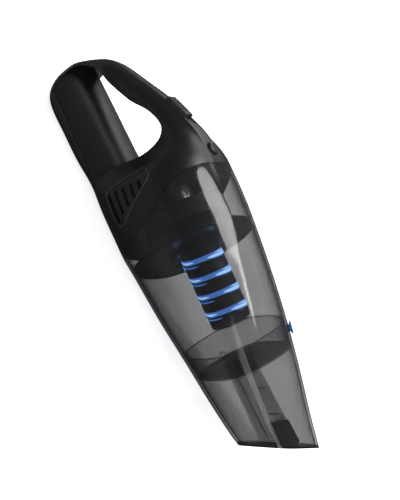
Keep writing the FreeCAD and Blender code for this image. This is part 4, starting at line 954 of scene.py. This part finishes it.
# ---- Filter --------------------------------------------------------------------------
@dataclass
class FilterUnit:
    """Turning base, mesh sleeve, blue bands, pleats and cap."""

    strands: int = 44            # strands each way round the sleeve
    strand: float = 0.00026      # strand radius
    turns: float = 0.62          # how far a strand winds along the sleeve
    bands: int = 4
    band_start: float = 0.0011   # first band's end, ahead of the base
    band_pitch: float = 0.0181
    band_points: int = 48
    band_taper: float = 0.08     # share of the half turn over which an end narrows
    band_reach: tuple[float, float] = (-0.12, 1.1)
    band_lift: float = 0.0004    # over the sleeve
    side_band_from: float = 0.0052   # narrow second band, ahead of the first
    side_band_reach: tuple[float, float] = (-0.05, 0.4)
    side_band_width: float = 0.3
    highlight_lift: float = 0.0007
    # across the band's half turn: how far it has wound along X, and its width
    band_course: tuple[tuple[float, float, float], ...] = (
        (-0.12, -0.0035, 0.0006), (0.0, 0.0000, 0.0030), (0.14, 0.0056, 0.0050),
        (0.32, 0.0100, 0.0048), (0.52, 0.0118, 0.0048), (0.74, 0.0110, 0.0064),
        (0.92, 0.0078, 0.0066), (1.0, 0.0052, 0.0046), (1.1, 0.0015, 0.0006),
    )
    # painted highlights on a band, as pale strokes: first and last share of the half turn,
    # shift along X, and width against the band's
    highlight_strokes: tuple[tuple[float, float, float, float], ...] = (
        (0.56, 1.04, 0.0008, 0.42), (0.02, 0.34, 0.0002, 0.34), (0.7, 0.98, -0.0020, 0.16),
    )
    # direction of a band's middle, from +Y towards +Z
    camera_side: float = math.radians(153.0)

    def lattice(self, way: int) -> bpy.types.Object:
        """Strands that wind one way round the sleeve."""
        low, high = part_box("filter_sleeve")
        radius = float(high[1]) + self.strand * 0.3
        tree = Tree("sleeve_strands", {
            "Strands": self.strands, "Turns": self.turns, "Radius": radius,
            "Length": float(high[0] - low[0]), "Strand": self.strand,
        })
        helix = tree.add(
            "CurveSpiral", Resolution=36, Rotations="Turns", Start_Radius="Radius",
            End_Radius="Radius", Height="Length", Reverse=way > 0)
        profile = tree.add("CurvePrimitiveCircle", Resolution=4, Radius="Strand")
        strand = tree.add(
            "CurveToMesh", Curve=helix.outputs[0], Profile_Curve=profile.outputs[0])
        line = tree.add("MeshLine", Count="Strands", Offset=(0.0, 0.0, 0.0))
        index = tree.add("InputIndex")
        share = tree.add(
            "ShaderNodeMath", {"operation": "DIVIDE"}, _0=index.outputs[0], _1="Strands")
        angle = tree.add(
            "ShaderNodeMath", {"operation": "MULTIPLY"}, _0=share.outputs[0], _1=2 * math.pi)
        spin = tree.add("ShaderNodeCombineXYZ", Z=angle.outputs[0]).outputs[0]
        points, shape = line.outputs[0], strand.outputs[0]
        ring = tree.add("InstanceOnPoints", Points=points, Instance=shape, Rotation=spin)
        laid = tree.add(
            "Transform", Geometry=ring.outputs[0], Rotation=(0.0, math.pi / 2, 0.0),
            Translation=(float(low[0]), 0.0, AXIS_Z))
        name = "sleeve_weave_" + ("left" if way > 0 else "right")
        return tree.grow(name, laid.outputs[0], MESH, 80.0)

    def ribbon(
        self, start: float, turn: float, reach: tuple[float, float], narrow: float, lift: float,
    ) -> np.ndarray:
        """Grid of points of one tapered ribbon round the sleeve.

        Args:
            start: x where the ribbon's end lies.
            turn: extra turn round the axis in radians.
            reach: first and last share of the half turn that it covers.
            narrow: how wide it is against the course's width.
            lift: height over the sleeve.

        Returns:
            The points, as rows across the ribbon.
        """
        course = np.array(self.band_course)
        share = np.linspace(reach[0], reach[1], self.band_points)
        along, width = through(course[:, 0], course[:, 1:], share).T
        inside = np.minimum(share - reach[0], reach[1] - share)
        ends = np.clip(inside / self.band_taper, 0.02, 1.0) ** 0.6
        angle = self.camera_side + turn + math.pi * (0.5 - share)
        radius = float(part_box("filter_sleeve")[1][1]) + lift
        across = np.linspace(-0.5, 0.5, 5)
        x = start + along[:, None] + across * (np.maximum(width, 0.0003) * ends * narrow)[:, None]
        y = np.repeat(radius * np.cos(angle)[:, None], across.size, axis=1)
        z = np.repeat(AXIS_Z + radius * np.sin(angle)[:, None], across.size, axis=1)
        return np.stack((x, y, z), axis=2)

    def swirls(self, name: str, pale: bool) -> bpy.types.Object:
        """Blue bands that wind half way round the sleeve on both sides, or the painted highlights
        on them.
        """
        base = float(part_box("filter_sleeve")[0][0]) + self.band_start
        grids = []
        for turn in (0.0, math.pi):
            for start in base + self.band_pitch * np.arange(self.bands):
                if pale:
                    ribbons = [
                        (start + shift, turn, (first, last), narrow, self.highlight_lift)
                        for first, last, shift, narrow in self.highlight_strokes
                    ]
                else:
                    beside, reach = start + self.side_band_from, self.side_band_reach
                    ribbons = [
                        (start, turn, self.band_reach, 1.0, self.band_lift),
                        (beside, turn, reach, self.side_band_width, self.band_lift),
                    ]
                grids += [self.ribbon(*ribbon) for ribbon in ribbons]
        points, faces = [], []
        for grid in grids:
            first, wide = len(points), grid.shape[1]
            points += [tuple(p) for p in grid.reshape(-1, 3)]
            for r in range(grid.shape[0] - 1):
                for c in range(wide - 1):
                    k = first + r * wide + c
                    faces.append((k, k + wide, k + wide + 1, k + 1))
        mesh = bpy.data.meshes.new(name)
        mesh.from_pydata(points, [], faces)
        mesh.shade_smooth()
        return new_piece(name, mesh, BAND_HIGHLIGHT if pale else SWIRL)

    def build(self) -> None:
        """Make every piece of the filter."""
        for way in (-1, 1):
            place(self.lattice(way), Body.FILTER, "filter_mesh")
        refined("filter_base", "filter_seat", CARRIER, Body.FILTER, "carrier", bevel=0.0004)
        refined("filter_cap", "filter_end_cap", CARRIER, Body.FILTER, "carrier")
        refined("filter_sleeve", "filter_tube", TUBE, Body.FILTER, "filter_mesh")
        place(self.swirls("blue_bands", False), Body.FILTER, "swirl_blue", "swirl_bands")
        place(self.swirls("band_highlights", True), Body.FILTER, "swirl_blue")
        refined("filter_cage", "filter_frame", CARRIER, Body.FILTER, "carrier")
        refined("filter_core", "paper_pleats", PAPER, Body.FILTER, "filter_paper")


# ---- Motor body ----------------------------------------------------------------------
@dataclass
class MotorBody:
    """Housing halves, vent bezels, screws, carrier, seal, exhaust foam and charge jack."""

    # outline of the vent panel: x from the rear end and z, in mm
    vent_corners: tuple[tuple[float, float], ...] = (
        (134, 26), (131, 72), (144, 78), (173.5, 31), (168, 23),
    )
    vent_rounding: float = 5.0   # in mm
    bezel_radius: float = 0.0013

    def vent_bezel(self, side: int) -> bpy.types.Object:
        """Raised lip round the exhaust slots of one side."""
        half = "right" if side < 0 else "left"
        outline = rounded(self.vent_corners, self.vent_rounding)
        path, outward = laid_on("housing_" + half, outline, side)
        return bead("vent_bezel_" + half, path, outward, self.bezel_radius, CONTROLS, True)

    def build(self) -> None:
        """Make every piece of the motor body."""
        for side in ("right", "left"):
            node = "housing_" + side
            refined(node, "grip_shell_" + side, HOUSING, Body.MAIN, "housing", degrees=24.0)
            place(self.vent_bezel(-1 if side == "right" else 1), Body.MAIN, "housing")
        refined("filter_carrier", "nose_carrier", CARRIER, Body.MAIN, "carrier")
        refined("carrier_gasket", "nose_seal", SEAL, Body.MAIN, "seal_rubber")
        refined("vent_foam", "exhaust_foam", FOAM, Body.MAIN, "foam")
        refined("charge_socket", "charge_jack", INNER, Body.MAIN, "inner_plastic", bevel=0.0002)
        refined("housing_screws", "shell_screws", STEEL, Body.MAIN, "screw_steel")


@dataclass
class Controls:
    """Power slider and release button."""

    def build(self) -> None:
        """Make the controls."""
        slider, button = Body.SLIDER, Body.RELEASE
        refined("power_slider", "thumb_slider", CONTROLS, slider, "controls", bevel=0.0003)
        refined("release_button", "release_cap", CONTROLS, button, "controls", bevel=0.0004)


@dataclass
class Workings:
    """Inner parts that keep their CAD shape and get a finish."""

    def build(self) -> None:
        """Dress each inner node."""
        finishes = {
            INNER: ("motor_mount", "motor_end_cap", "fan_cover", "fan_inlet_ring", "battery_tray",
                    "switch_module", "button_guide", "latch_arm", "fan_impeller"),
            STEEL: ("motor_can", "motor_armature", "motor_shaft", "impeller_nut", "button_spring"),
            MAGNET: ("motor_magnets",),
            CELL: ("battery_cells",),
            BOARD: ("charge_board",),
        }
        for finish, names in finishes.items():
            for name in names:
                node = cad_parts[name]
                node.data.materials.clear()
                node.data.materials.append(finish.material())
                log.info("%s dressed in %s", name, finish.name)


def main() -> None:
    """Build the object in its studio and report each piece."""
    logging.basicConfig(level=logging.INFO, format="%(name)s: %(message)s")
    grain_group()
    handling_group()
    Studio().build()
    for part in (MotorBody(), Controls(), FilterUnit(), DustBin(), Workings()):
        part.build()


if __name__ == "__main__":
    main()
